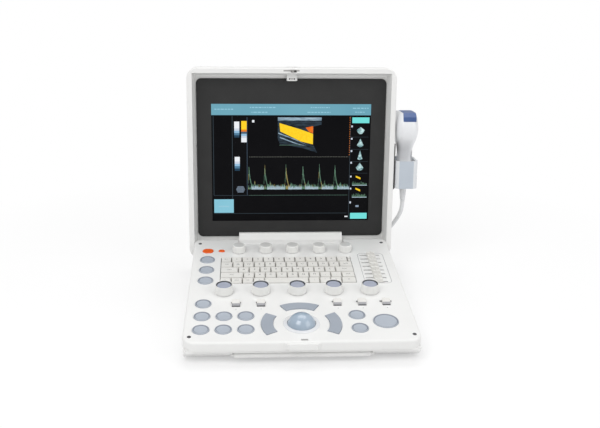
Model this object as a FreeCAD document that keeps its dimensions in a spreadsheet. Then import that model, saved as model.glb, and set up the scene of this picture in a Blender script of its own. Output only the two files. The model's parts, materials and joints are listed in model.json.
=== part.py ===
"""Portable ultrasound scanner: wedge base with a control deck, hinged display lid, probe in its cup.

Millimetres, +Z up, +X to the user's right, +Y away from the user.  The row's origin is on the
floor under the middle of the object.  Three working frames are placed from the sizes below:
  FLOOR  level, under the deck's origin (the deck's centre line, between its two rear plugs)
  DECK   on the deck's surface, leaning to the user by deck_angle; controls are built in it
  LID    on the lid's hinge axis, leaning back by lid_lean; +Y is into the lid, +Z up the lid
"""
import FreeCAD, Part

import math
import operator
import os

import Sketcher

SIZES = {
    # Where the deck's origin lies in the row's frame
    "place_x": -19.0, "place_y": 105.3, "deck_height": 56.0, "deck_angle": 5.0,
    # Upper shell
    "deck_width": 300.0, "deck_front": 280.0, "deck_rear": 15.0, "deck_depth": 12.0,
    "skin": 2.5, "wall": 3.0, "front_corner": 18.0, "rear_corner": 10.0, "deck_edge": 3.0,
    "lip_width": 45.0, "lip_reach": 4.0, "lip_slant": 5.0,
    "play": 0.3, "running_clearance": 0.05,
    # Lower shell
    "shell_inset": 1.5, "foot_height": 4.0, "foot_radius": 9.0, "foot_inset": 30.0,
    "undercut": 16.0, "undercut_start": 3.0, "rear_slant": 6.0, "inner_chamfer": 12.0,
    "post_radius": 4.0, "screw_radius": 1.5, "screw_head": 3.0, "screw_head_height": 2.0,
    "rear_screw_x": 95.0, "rear_screw_y": 22.0, "front_screw_x": 120.0, "front_screw_y": 205.0,
    "vent_length": 18.0, "vent_height": 2.0, "vent_pitch": 5.0,
    # Boards, battery and fan
    "board_thickness": 1.6, "deck_board_drop": 9.0, "main_board_height": 14.0,
    "main_board_width": 266.0, "main_board_length": 74.0, "main_board_front": 180.0,
    "battery_width": 120.0, "battery_length": 72.0, "battery_height": 20.0, "battery_x": 50.0,
    "battery_y": 66.0, "shield_inset": 20.0, "shield_width": 60.0, "shield_front": 8.0,
    "shield_length": 22.0, "shield_height": 5.0, "fan_x": 112.0, "fan_y": 62.0,
    "fan_radius": 19.0, "fan_hub": 8.0, "fan_height": 9.0, "fan_pin": 1.5, "fan_blade": 1.2,
    # Lid
    "hinge_back": 1.8, "hinge_drop": 7.5, "hinge_barrel": 5.0, "hinge_pin": 2.5,
    "hinge_pin_length": 18.0, "lid_lean": 4.5, "lid_width": 317.0, "lid_bottom": 18.3,
    "lid_top": 277.7, "lid_corner": 16.0, "rim_width": 8.0, "rim_depth": 18.0, "rim_front": 8.5,
    "rim_slope": 4.0, "lid_plate": 2.5, "lid_thickness": 34.5, "back_edge": 9.0,
    "bezel_margin": 1.0, "bezel_bottom": 12.9, "bezel_top": 260.7, "bezel_thickness": 1.5,
    "bezel_corner": 8.0, "screen_width": 245.8, "screen_height": 184.3, "screen_bottom": 37.7,
    "module_margin": 7.5, "module_thickness": 9.0, "lid_chamfer": 4.0,
    "cover_width": 162.0, "cover_neck": 4.0, "cover_start": 14.0, "cover_foot": 6.0,
    "cover_shoulder": 9.0, "cover_top": 19.0, "cover_top_start": 20.5, "well_gap": 2.0,
    "well_front": 7.6, "well_floor": 34.0, "well_cheek": 8.0,
    # Latch
    "latch_width": 16.0, "latch_travel": 4.0, "hook_width": 4.0, "hook_thickness": 2.5,
    "hook_rise": 271.5, "hook_reach": 6.5, "latch_foot": 261.0, "latch_back": 24.0,
    "latch_plate": 4.0, "latch_gap": 0.5, "thumb_height": 1.2,
    # Carry handle under the front edge
    "handle_width": 172.0, "handle_length": 75.0, "handle_bar": 8.4, "handle_arm": 12.0,
    "handle_grip": 16.0, "handle_pivot_front": 269.0, "handle_pivot_height": 10.2,
    "handle_gap": 1.6, "handle_pin": 2.0, "handle_pin_length": 4.0,
    # Keys
    "key_radius": 10.9, "key_rise": 1.4, "key_skirt": 2.8, "key_flange": 1.2,
    "key_flange_height": 1.5, "key_stem": 2.5, "key_stem_end": 7.2, "key_edge": 0.7,
    "key_dish": 0.7, "key_dish_rim": 1.1, "key_dish_slope": 60.0, "key_column": 127.6,
    "key_column_pitch": 28.4, "key_first_row": 55.4,
    "key_fourth_row": 184.8, "key_row_pitch": 32.2, "right_key_x": 74.5, "enter_radius": 16.5,
    "enter_x": 110.0, "enter_row": 233.4, "arc_inner": 36.5, "arc_outer": 52.0,
    "arc_angle": 60.0, "power_x": 128.0, "power_row": 26.4, "power_length": 16.5,
    "power_width": 13.0, "lamp_x": 107.2, "lamp_length": 9.1, "lamp_width": 7.0,
    # Keyboard
    "keyboard_left": 107.6, "keyboard_right": 86.4, "keyboard_start": 47.8,
    "keycap_pitch": 15.7, "keyrow_pitch": 16.3, "keycap_gap": 1.2, "keycap_rise": 1.0,
    "keycap_depth": 4.5, "keycap_taper": 8.0, "row_one_joint": 92.0, "row_two_joint": 89.9,
    "row_three_joint": 81.6, "row_four_joint": 74.2, "row_five_joint": 91.5,
    # Knobs, toggles, sliders
    "dial_pitch": 50.3, "dial_row": 153.0, "dial_radius": 12.2, "dial_top_radius": 10.9,
    "dial_height": 12.4, "dial_dish": 2.2, "dial_dish_radius": 9.8, "shaft_radius": 3.0,
    "shaft_length": 8.5, "knob_float": 0.5, "pot_pitch": 40.5, "pot_row": 27.2,
    "pot_radius": 8.8, "pot_top_radius": 7.2, "pot_height": 9.2,
    "toggle_width": 10.4, "toggle_length": 9.0, "toggle_rise": 6.0, "toggle_pivot": 4.0,
    "toggle_hub": 2.6, "toggle_row": 186.0, "toggle_slot": 14.0, "toggle_first": -83.9,
    "toggle_second": -50.6, "toggle_third": 51.8, "toggle_fourth": 85.2, "toggle_fifth": 118.0,
    "fader_x": 115.6, "fader_rest": 1.9, "fader_row": 44.3, "fader_pitch": 11.85,
    "fader_slot": 30.0, "fader_slot_width": 2.8, "fader_width": 12.6, "fader_length": 6.0,
    "fader_height": 5.5, "fader_blade": 7.0, "fader_blade_thickness": 1.6,
    # Trackball
    "ball_x": 0.5, "ball_row": 237.0, "ball_radius": 19.05, "ball_sink": 4.5,
    "ball_floor": 8.0, "ball_boss_radius": 24.5, "ball_boss_wall": 1.7,
    "ball_gap": 0.4, "cup_wall": 1.75, "ring_radius": 23.7, "ring_rise": 1.2,
    # Plugs in the deck's corners
    "plug_x": 141.2, "plug_row": 265.0, "plug_radius": 2.6, "plug_rise": 0.5, "plug_depth": 2.0,
    # Rear sockets
    "socket_x": 108.0, "socket_width": 46.0, "socket_height": 13.0, "socket_depth": 10.0,
    "socket_rise": 17.0, "inlet_width": 20.0, "inlet_height": 11.0,
    # Probe, its cup and its cord
    "bracket": 1.8, "holder_width": 36.2, "holder_depth": 50.0, "holder_front": 7.0,
    "holder_bottom": 92.3, "holder_height": 43.4, "holder_wall": 3.0, "holder_floor": 3.2,
    "holder_corner": 9.0, "bracket_top": 162.0, "bracket_depth": 34.0,
    "neck_width": 28.0, "neck_depth": 30.0, "head_width": 32.5, "head_depth": 50.0,
    "neck_top": 161.0, "head_bottom": 173.0, "head_top": 210.0, "lens_width": 20.0,
    "lens_height": 13.0, "lens_shift": 2.0, "relief_top_radius": 6.2, "relief_radius": 3.9,
    "relief_end": 70.0, "cord_radius": 3.25, "coil_radius": 36.0, "coil_offset": 108.4,
    "coil_y": 128.0, "coil_height": 19.5, "coil_width": 19.5,
    "probe_plug_length": 50.0, "probe_plug_width": 36.0, "probe_plug_height": 16.0,
    "plug_collar_radius": 5.5, "plug_collar_length": 16.0, "plug_reach": 28.0,
}

doc = FreeCAD.newDocument("scanner")
sheet = doc.addObject("Spreadsheet::Sheet", "dims")
for row, (name, number) in enumerate(SIZES.items(), start=1):
    sheet.set(f"A{row}", name)
    sheet.set(f"B{row}", str(number))
    sheet.setAlias(f"B{row}", name)
doc.recompute()


class Formula:
    """A number together with the sheet expression that gives it."""

    SIGNS = {"+": operator.add, "-": operator.sub, "*": operator.mul, "/": operator.truediv}

    def __init__(self, value, text):
        self.value = value
        self.text = text

    def joined(self, sign, other, swapped=False):
        left, right = (number(other), self) if swapped else (self, number(other))
        value = self.SIGNS[sign](left.value, right.value)
        return Formula(value, f"({left.text} {sign} {right.text})")

    def __add__(self, other):
        return self.joined("+", other)

    def __radd__(self, other):
        return self.joined("+", other, True)

    def __sub__(self, other):
        return self.joined("-", other)

    def __rsub__(self, other):
        return self.joined("-", other, True)

    def __mul__(self, other):
        return self.joined("*", other)

    def __rmul__(self, other):
        return self.joined("*", other, True)

    def __truediv__(self, other):
        return self.joined("/", other)

    def __neg__(self):
        return self.joined("*", -1)


def number(item):
    return item if isinstance(item, Formula) else Formula(float(item), f"({item})")


def sine(angle):
    return Formula(math.sin(math.radians(angle.value)), f"sin({angle.text})")


def cosine(angle):
    return Formula(math.cos(math.radians(angle.value)), f"cos({angle.text})")


class Sizes:
    """Every size of the sheet as a formula: size.wall, size.deck_width and so on."""

    def __getattr__(self, name):
        return Formula(SIZES[name], f"dims.{name}")


size = Sizes()


def frame_text(x, y, z, axis, angle):
    """A placement written as an expression."""
    place = f"vector({number(x).text}; {number(y).text}; {number(z).text})"
    turn = f"rotation(vector({axis}); {number(angle).text})"
    return f"placement({place}; {turn})"


LEAN = size.deck_angle
hinge_y = -size.hinge_back * cosine(LEAN) + size.hinge_drop * sine(LEAN)
hinge_z = size.deck_height - size.hinge_back * sine(LEAN) - size.hinge_drop * cosine(LEAN)
FLOOR = frame_text(size.place_x, size.place_y, 0, "1; 0; 0", 0)
DECK = frame_text(size.place_x, size.place_y, size.deck_height, "1; 0; 0", LEAN)
LID = frame_text(size.place_x, size.place_y + hinge_y, hinge_z, "1; 0; 0", -size.lid_lean)
pieces = []


def name_piece(item, label, frame, x=0, y=0, z=0, turn=0):
    """Give a sub-part its label and its placement in one of the working frames."""
    item.Label = label
    item.setExpression("Placement", f"{frame} * {frame_text(x, y, z, '0; 0; 1', turn)}")
    pieces.append(item)
    return item


def new_body(label, frame, x=0, y=0, z=0, turn=0):
    return name_piece(doc.addObject("PartDesign::Body", label), label, frame, x, y, z, turn)


def new_sketch(body, plane, lift=0, side=0, rise=0):
    """A sketch on a body's XY, XZ or YZ plane, lifted along +Z, +Y or +X."""
    sketch = body.newObject("Sketcher::SketchObject", f"{body.Name}_sketch")
    support = [item for item in body.Origin.OriginFeatures if item.Role == f"{plane}_Plane"][0]
    sketch.AttachmentSupport = [(support, "")]
    sketch.MapMode = "FlatFace"
    normal_lift = -number(lift) if plane == "XZ" else number(lift)
    sketch.setExpression("AttachmentOffset.Base.x", number(side).text)
    sketch.setExpression("AttachmentOffset.Base.y", number(rise).text)
    sketch.setExpression("AttachmentOffset.Base.z", normal_lift.text)
    return sketch


def constrain(sketch, kind, *items, formula=None):
    if formula is None:
        sketch.addConstraint(Sketcher.Constraint(kind, *items))
        return
    index = sketch.addConstraint(Sketcher.Constraint(kind, *items, formula.value))
    sketch.setExpression(f"Constraints[{index}]", formula.text)


def pin_point(sketch, element, point, x, y):
    constrain(sketch, "DistanceX", -1, 1, element, point, formula=number(x))
    constrain(sketch, "DistanceY", -1, 1, element, point, formula=number(y))


def add_polygon(sketch, corners):
    """A closed outline of straight sides through corners given as (x, y) formulas."""
    spots = [FreeCAD.Vector(number(x).value, number(y).value, 0) for x, y in corners]
    first = sketch.GeometryCount
    for start, end in zip(spots, spots[1:] + spots[:1]):
        sketch.addGeometry(Part.LineSegment(start, end), False)
    for step, (x, y) in enumerate(corners):
        last = first + (step - 1) % len(corners)
        constrain(sketch, "Coincident", last, 2, first + step, 1)
        pin_point(sketch, first + step, 1, x, y)


def add_box(sketch, left, right, low, high):
    add_polygon(sketch, [(left, low), (right, low), (right, high), (left, high)])


def add_circle(sketch, x, y, radius):
    centre = FreeCAD.Vector(number(x).value, number(y).value, 0)
    radius = number(radius)
    element = sketch.addGeometry(Part.Circle(centre, FreeCAD.Vector(0, 0, 1), radius.value), False)
    constrain(sketch, "Radius", element, formula=radius)
    pin_point(sketch, element, 3, x, y)


def add_rounded_box(sketch, left, right, low, high, radius):
    """A rectangle with round corners: four arcs about pinned centres, joined by four lines."""
    left, right, low, high, radius = map(number, (left, right, low, high, radius))
    centres = [(right - radius, high - radius), (left + radius, high - radius),
               (left + radius, low + radius), (right - radius, low + radius)]
    first = sketch.GeometryCount
    for quarter, (x, y) in enumerate(centres):
        circle = Part.Circle(FreeCAD.Vector(x.value, y.value, 0), FreeCAD.Vector(0, 0, 1), radius.value)
        start = quarter * math.pi / 2
        sketch.addGeometry(Part.ArcOfCircle(circle, start, start + math.pi / 2), False)
    for quarter, (x, y) in enumerate(centres):
        arc = first + quarter
        following = first + (quarter + 1) % 4
        ends = [sketch.getPoint(arc, 2), sketch.getPoint(following, 1)]
        line = sketch.addGeometry(Part.LineSegment(*ends), False)
        pin_point(sketch, arc, 3, x, y)
        constrain(sketch, "Radius", arc, formula=radius)
        level, upright = ("Horizontal", "Vertical") if quarter % 2 == 0 else ("Vertical", "Horizontal")
        constrain(sketch, level, arc, 3, arc, 1)
        constrain(sketch, upright, arc, 3, arc, 2)
        constrain(sketch, "Coincident", arc, 2, line, 1)
        constrain(sketch, "Coincident", line, 2, following, 1)


def extrude(body, sketch, length, kind="Pad", flip=False, both_sides=False, taper=0):
    """Pad or pocket a sketch; a pad goes along the plane's normal and a pocket against it."""
    feature = body.newObject(f"PartDesign::{kind}", f"{body.Name}_{kind.lower()}")
    feature.Profile = sketch
    feature.setExpression("Length", number(length).text)
    feature.Reversed = flip
    if both_sides:
        feature.SideType = "Symmetric"
    if taper:
        feature.setExpression("TaperAngle", number(taper).text)
    body.Tip = feature
    doc.recompute([sketch, feature])
    return feature


def revolve(body, sketch, axis="V_Axis", kind="Revolution", angle=360, midplane=False):
    feature = body.newObject(f"PartDesign::{kind}", f"{body.Name}_{kind.lower()}")
    feature.Profile = sketch
    feature.ReferenceAxis = (sketch, [axis])
    feature.setExpression("Angle", number(angle).text)
    feature.Midplane = midplane
    body.Tip = feature
    doc.recompute([sketch, feature])
    return feature


def dress(body, chosen, length, kind="Fillet"):
    """Fillet or chamfer the edges of a body's last feature for which chosen(edge) is true."""
    base = body.Tip
    names = [f"Edge{index}" for index, edge in enumerate(base.Shape.Edges, start=1) if chosen(edge)]
    if not names:
        raise RuntimeError(f"{body.Label}: no edge to dress")
    feature = body.newObject(f"PartDesign::{kind}", f"{body.Name}_{kind.lower()}")
    feature.Base = (base, names)
    feature.setExpression("Radius" if kind == "Fillet" else "Size", number(length).text)
    body.Tip = feature
    doc.recompute([feature])
    return feature


def along(edge, axis):
    """True for a straight edge parallel to an axis (0 X, 1 Y, 2 Z)."""
    if edge.Curve.TypeId != "Part::GeomLine":
        return False
    return abs(abs(edge.Curve.Direction[axis]) - 1) < 1e-6


def level_at(edge, axis, where):
    """True for an edge that lies wholly in the plane axis = where."""
    box = edge.BoundBox
    low = (box.XMin, box.YMin, box.ZMin)[axis]
    high = (box.XMax, box.YMax, box.ZMax)[axis]
    return abs(low - where) < 0.02 and abs(high - where) < 0.02


def middle(edge):
    return edge.BoundBox.Center


# ---------------------------------------------------------------- Places that several pieces share
KEY_GROUPS = {
    "keys_rear_left": [(-size.key_column, size.key_first_row + size.key_row_pitch * step)
                       for step in range(3)],
    "keys_front_left": [(-size.key_column, size.key_fourth_row + size.key_row_pitch * step)
                        for step in range(3)],
    "keys_front_middle": [(-size.key_column + size.key_column_pitch * (1 + step // 2),
                           size.key_fourth_row + size.key_row_pitch * (1 + step % 2))
                          for step in range(4)],
    "keys_front_right": [(size.right_key_x, size.key_fourth_row + size.key_row_pitch * (1 + step))
                         for step in range(2)],
}
ARC_KEYS = {"arc_key_right": 0, "arc_key_rear": 90, "arc_key_left": 180}
DIAL_PLACES = [size.dial_pitch * (step - 2) for step in range(5)]
POT_PLACES = [size.pot_pitch * (step - 2) for step in range(5)]
TOGGLE_PLACES = [size.toggle_first, size.toggle_second, size.toggle_third, size.toggle_fourth,
                 size.toggle_fifth]
FADER_ROWS = [size.fader_row + size.fader_pitch * step for step in range(8)]
PLUG_PLACES = [(side * size.plug_x, row) for side in (-1, 1) for row in (number(0), size.plug_row)]
POST_PLACES = [(side * size.deck_width * 0.4, row) for side in (-1, 1)
               for row in (size.key_first_row - size.key_row_pitch / 2,
                           size.key_fourth_row - size.key_row_pitch / 2)]
SCREW_PLACES = [(side * x, -y) for side in (-1, 1)
                for x, y in ((size.rear_screw_x, size.rear_screw_y),
                             (size.front_screw_x, size.front_screw_y))]


def parting_height(y):
    """The height of the plane between the two shells, in the FLOOR frame."""
    return size.deck_height + (y * sine(LEAN) - size.deck_depth) / cosine(LEAN)


# ---------------------------------------------------------------- Base: upper shell
half_deck = size.deck_width / 2
well_half = size.cover_width / 2 + size.well_gap


def make_upper_shell():
    body = new_body("upper_shell", DECK)
    outline = new_sketch(body, "XY")
    add_box(outline, -half_deck, half_deck, -size.deck_front, size.deck_rear)
    extrude(body, outline, size.deck_depth, flip=True)
    rear = size.deck_rear.value
    dress(body, lambda edge: along(edge, 2) and middle(edge).y < 0, size.front_corner)
    dress(body, lambda edge: along(edge, 2) and abs(middle(edge).y - rear) < 0.01, size.rear_corner)
    dress(body, lambda edge: level_at(edge, 2, 0), size.deck_edge)
    lip = new_sketch(body, "XY", -size.skin / 2)
    half_lip = size.lip_width / 2
    add_polygon(lip, [(-half_lip, -size.deck_front + size.wall), (half_lip, -size.deck_front + size.wall),
                      (half_lip, -size.deck_front),
                      (half_lip - size.lip_slant, -size.deck_front - size.lip_reach),
                      (size.lip_slant - half_lip, -size.deck_front - size.lip_reach),
                      (-half_lip, -size.deck_front)])
    extrude(body, lip, size.deck_depth - size.skin / 2 - size.deck_edge, flip=True)

    inside = new_sketch(body, "XY", -size.skin)
    add_rounded_box(inside, size.wall - half_deck, half_deck - size.wall, size.wall - size.deck_front,
                    size.deck_rear - size.wall, size.rear_corner - size.wall + 8)
    extrude(body, inside, size.deck_depth, "Pocket")

    posts = new_sketch(body, "XY", -size.skin)
    for x, row in POST_PLACES:
        add_circle(posts, x, -row, size.post_radius)
    extrude(body, posts, size.deck_board_drop - size.skin, flip=True)

    cheeks = new_sketch(body, "XY", -size.skin)
    add_box(cheeks, -well_half - size.well_cheek, well_half + size.well_cheek,
            -size.well_front - size.wall, size.deck_rear - size.wall)
    extrude(body, cheeks, size.deck_depth - size.skin, flip=True)
    well = new_sketch(body, "XY", 1)
    add_box(well, -well_half, well_half, -size.well_front, size.deck_rear + 1)
    extrude(body, well, size.deck_depth + 2, "Pocket")
    shaft_holes = new_sketch(body, "YZ")
    add_circle(shaft_holes, -size.hinge_back, -size.hinge_drop, size.hinge_pin)
    extrude(body, shaft_holes, 2 * (well_half + size.well_cheek) - 2, "Pocket", both_sides=True)

    holes = new_sketch(body, "XY", 1)
    for places in KEY_GROUPS.values():
        for x, row in places:
            add_circle(holes, x, -row, size.key_radius + size.play)
    add_circle(holes, size.enter_x, -size.enter_row, size.enter_radius + size.play)
    for x in DIAL_PLACES:
        add_circle(holes, x, -size.dial_row, size.shaft_radius + size.play)
    for x in POT_PLACES:
        add_circle(holes, x, -size.pot_row, size.shaft_radius + size.play)
    add_circle(holes, size.ball_x, -size.ball_row,
               size.ball_radius + size.ball_gap + size.cup_wall + size.play)
    extrude(body, holes, size.skin + 2, "Pocket")

    slots = new_sketch(body, "XY", 1)
    half_slot = size.toggle_slot / 2
    for x in TOGGLE_PLACES:
        half_width = size.toggle_width / 2 + 1.5 * size.play
        add_box(slots, x - half_width, x + half_width,
                -size.toggle_row - half_slot, half_slot - size.toggle_row)
    for row in FADER_ROWS:
        half_length = size.fader_slot / 2
        add_box(slots, size.fader_x - half_length, size.fader_x + half_length,
                -row - size.fader_slot_width / 2, size.fader_slot_width / 2 - row)
    for x, length, width in ((size.power_x, size.power_length, size.power_width),
                             (size.lamp_x, size.lamp_length, size.lamp_width)):
        edge = size.play
        add_rounded_box(slots, -x - length / 2 - edge, -x + length / 2 + edge,
                        -size.power_row - width / 2 - edge, width / 2 + edge - size.power_row,
                        width / 2 + edge - 0.2)
    add_box(slots, -size.keyboard_left, size.keyboard_right,
            -size.keyboard_start - 5 * size.keyrow_pitch, -size.keyboard_start)
    hook_row = size.hinge_back + size.hook_rise
    add_box(slots, -size.hook_width / 2 - size.latch_gap,
            size.hook_width / 2 + size.latch_travel + size.latch_gap,
            -hook_row - size.hook_thickness - size.latch_gap, size.latch_gap - hook_row)
    extrude(body, slots, size.skin + 2, "Pocket")

    seats = new_sketch(body, "XY", 1)
    for x, row in PLUG_PLACES:
        add_circle(seats, x, -row, size.plug_radius)
    extrude(body, seats, size.plug_depth + 1, "Pocket")

    for turn in ARC_KEYS.values():
        plane = "YZ" if turn == 90 else "XZ"
        side = -size.ball_row if turn == 90 else size.ball_x
        lift = size.ball_x if turn == 90 else -size.ball_row
        window = new_sketch(body, plane, lift, side)
        sign = -1 if turn == 180 else 1
        edges = sorted((sign * (size.arc_inner - size.play), sign * (size.arc_outer + size.play)),
                       key=lambda edge: edge.value)
        add_box(window, edges[0], edges[1], -size.skin - 1, 1)
        revolve(body, window, kind="Groove", angle=size.arc_angle + 1, midplane=True)
    return body


# ---------------------------------------------------------------- Base: lower shell
shell_rear = size.deck_rear * cosine(LEAN) + size.deck_depth * sine(LEAN) - size.shell_inset
shell_front = -size.deck_front * cosine(LEAN) + size.deck_depth * sine(LEAN) + size.shell_inset
shell_half = half_deck - size.shell_inset
shell_floor = size.foot_height + size.skin
handle_half = size.handle_width / 2
channel_half = handle_half + size.handle_gap
channel_roof = size.handle_pivot_height + size.handle_bar / 2 + 1
handle_rear = size.handle_length - size.handle_pivot_front


def make_lower_shell():
    body = new_body("lower_shell", FLOOR)
    profile = new_sketch(body, "YZ")
    add_polygon(profile, [
        (shell_rear, parting_height(shell_rear)),
        (shell_rear - size.rear_slant, size.foot_height),
        (shell_front + size.undercut, size.foot_height),
        (shell_front, parting_height(shell_front) - size.undercut_start),
        (shell_front, parting_height(shell_front))])
    extrude(body, profile, 2 * shell_half, both_sides=True)
    front = shell_front.value
    dress(body, lambda edge: along(edge, 2) and abs(middle(edge).y - front) < 0.01,
          size.undercut_start - 0.2, "Chamfer")
    side = shell_half.value
    dress(body, lambda edge: abs(abs(middle(edge).x) - side) < 0.01 and middle(edge).y > 0
          and edge.BoundBox.ZLength > size.deck_height.value / 2, size.rear_corner - size.shell_inset)

    inside = new_sketch(body, "XY", shell_floor)
    left = size.wall - shell_half
    right = shell_half - size.wall
    rear = shell_rear - size.rear_slant - size.wall
    near = shell_front + size.undercut + size.wall
    cut = size.inner_chamfer
    add_polygon(inside, [(left + cut, near), (right - cut, near), (right, near + cut), (right, rear - cut),
                         (right - cut, rear), (left + cut, rear), (left, rear - cut), (left, near + cut)])
    extrude(body, inside, size.deck_height, "Pocket", flip=True)

    tub = new_sketch(body, "XY", size.well_floor - size.skin)
    tub_front = size.deck_depth * sine(LEAN) - size.well_front * cosine(LEAN)
    add_box(tub, -well_half - size.wall, well_half + size.wall, tub_front - size.wall,
            shell_rear - size.wall)
    extrude(body, tub, size.deck_height - size.well_floor)

    channel_walls = new_sketch(body, "XY", size.foot_height)
    outer = channel_half + size.skin
    add_box(channel_walls, -outer, outer, near - 1, handle_rear + size.handle_gap + size.skin)
    extrude(body, channel_walls, channel_roof + size.skin - size.foot_height)

    posts = new_sketch(body, "XY", shell_floor)
    for x in (-1, 1):
        for y in (size.main_board_front - 6, size.main_board_front - size.main_board_length + 6):
            add_circle(posts, x * (size.main_board_width / 2 - 6), -y, size.post_radius)
    extrude(body, posts, size.main_board_height - shell_floor)

    blocks = new_sketch(body, "XY", shell_floor)
    for side in (-1, 1):
        near_edge = side * (size.socket_x - size.socket_width / 2 - size.wall)
        far_edge = side * (size.socket_x + size.socket_width / 2 + size.wall)
        low, high = sorted((near_edge, far_edge), key=lambda edge: edge.value)
        add_box(blocks, low, high, shell_rear - size.rear_slant - size.socket_depth - 2 * size.wall, rear)
    extrude(body, blocks, size.socket_rise + size.socket_height / 2 + size.wall - shell_floor)

    screw_posts = new_sketch(body, "XY", shell_floor)
    for x, y in SCREW_PLACES:
        add_circle(screw_posts, x, y, size.post_radius)
    extrude(body, screw_posts, size.deck_height)

    fan_pin = new_sketch(body, "XY", shell_floor)
    add_circle(fan_pin, size.fan_x, -size.fan_y, size.fan_pin)
    extrude(body, fan_pin, size.fan_height + 2)
    shroud = new_sketch(body, "XY", shell_floor)
    add_circle(shroud, size.fan_x, -size.fan_y, size.fan_radius + 3)
    add_circle(shroud, size.fan_x, -size.fan_y, size.fan_radius + 1)
    extrude(body, shroud, size.fan_height + 2)

    trim = new_sketch(body, "YZ")
    far = shell_rear + size.deck_rear
    near_end = shell_front - size.deck_rear
    add_polygon(trim, [(near_end, parting_height(near_end)), (far, parting_height(far)),
                       (far, 2 * size.deck_height), (near_end, 2 * size.deck_height)])
    extrude(body, trim, 2 * size.deck_width, "Pocket", both_sides=True)

    well = new_sketch(body, "XY", size.well_floor)
    add_box(well, -well_half, well_half, tub_front, shell_rear + size.wall)
    extrude(body, well, size.deck_height, "Pocket", flip=True)

    channel = new_sketch(body, "XY", size.foot_height - 1)
    add_box(channel, -channel_half, channel_half, shell_front - 1, handle_rear + size.handle_gap)
    extrude(body, channel, channel_roof - size.foot_height + 1, "Pocket", flip=True)
    ball_y = size.ball_sink * sine(LEAN) - size.ball_row * cosine(LEAN)
    ball_boss = new_sketch(body, "XY", size.ball_floor - size.wall)
    add_circle(ball_boss, size.ball_x, ball_y, size.ball_boss_radius)
    extrude(body, ball_boss, channel_roof + size.skin / 2 - size.ball_floor + size.wall)
    ball_well = new_sketch(body, "XY", size.ball_floor)
    add_circle(ball_well, size.ball_x, ball_y, size.ball_boss_radius - size.ball_boss_wall)
    extrude(body, ball_well, size.deck_height, "Pocket", flip=True)
    pin_holes = new_sketch(body, "YZ")
    add_circle(pin_holes, -size.handle_pivot_front, size.handle_pivot_height,
               size.handle_pin + size.running_clearance)
    extrude(body, pin_holes, 2 * (handle_half + size.handle_pin_length + size.play), "Pocket",
            both_sides=True)

    screw_holes = new_sketch(body, "XY", size.foot_height - 1)
    for x, y in SCREW_PLACES:
        add_circle(screw_holes, x, y, size.screw_radius + size.running_clearance)
    extrude(body, screw_holes, size.deck_height, "Pocket", flip=True)
    head_seats = new_sketch(body, "XY", size.foot_height - 1)
    for x, y in SCREW_PLACES:
        add_circle(head_seats, x, y, size.screw_head + size.play)
    extrude(body, head_seats, size.screw_head_height + 1 - 0.5, "Pocket", flip=True)

    sockets = new_sketch(body, "XZ", shell_rear + size.wall)
    add_rounded_box(sockets, size.socket_x - size.socket_width / 2, size.socket_x + size.socket_width / 2,
                    size.socket_rise - size.socket_height / 2, size.socket_rise + size.socket_height / 2, 3)
    add_rounded_box(sockets, -size.socket_x - size.inlet_width / 2, -size.socket_x + size.inlet_width / 2,
                    size.socket_rise - size.inlet_height / 2, size.socket_rise + size.inlet_height / 2, 2)
    extrude(body, sockets, size.socket_depth + size.wall + size.rear_slant / 2, "Pocket", flip=True)

    vents = new_sketch(body, "YZ")
    for step in range(4):
        low = size.socket_rise - size.vent_pitch + size.vent_pitch * step
        add_box(vents, -size.fan_y - size.vent_length, size.vent_length - size.fan_y,
                low, low + size.vent_height)
    extrude(body, vents, 2 * size.deck_width, "Pocket", both_sides=True)
    return body


# ---------------------------------------------------------------- Base: feet, plugs, boards
def make_pads():
    feet = new_body("rubber_pads", FLOOR)
    soles = new_sketch(feet, "XY")
    for side in (-1, 1):
        for y in (shell_front + size.foot_inset + size.undercut / 2, shell_rear - size.foot_inset):
            add_circle(soles, side * (shell_half - size.foot_inset), y, size.foot_radius)
    extrude(feet, soles, size.foot_height)
    dress(feet, lambda edge: level_at(edge, 2, 0), 1.2)

    plugs = new_body("deck_plugs", DECK)
    tops = new_sketch(plugs, "XY", -size.plug_depth)
    for x, row in PLUG_PLACES:
        add_circle(tops, x, -row, size.plug_radius)
    extrude(plugs, tops, size.plug_depth + size.plug_rise)
    dress(plugs, lambda edge: level_at(edge, 2, size.plug_rise.value), size.plug_rise - 0.1)


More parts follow.
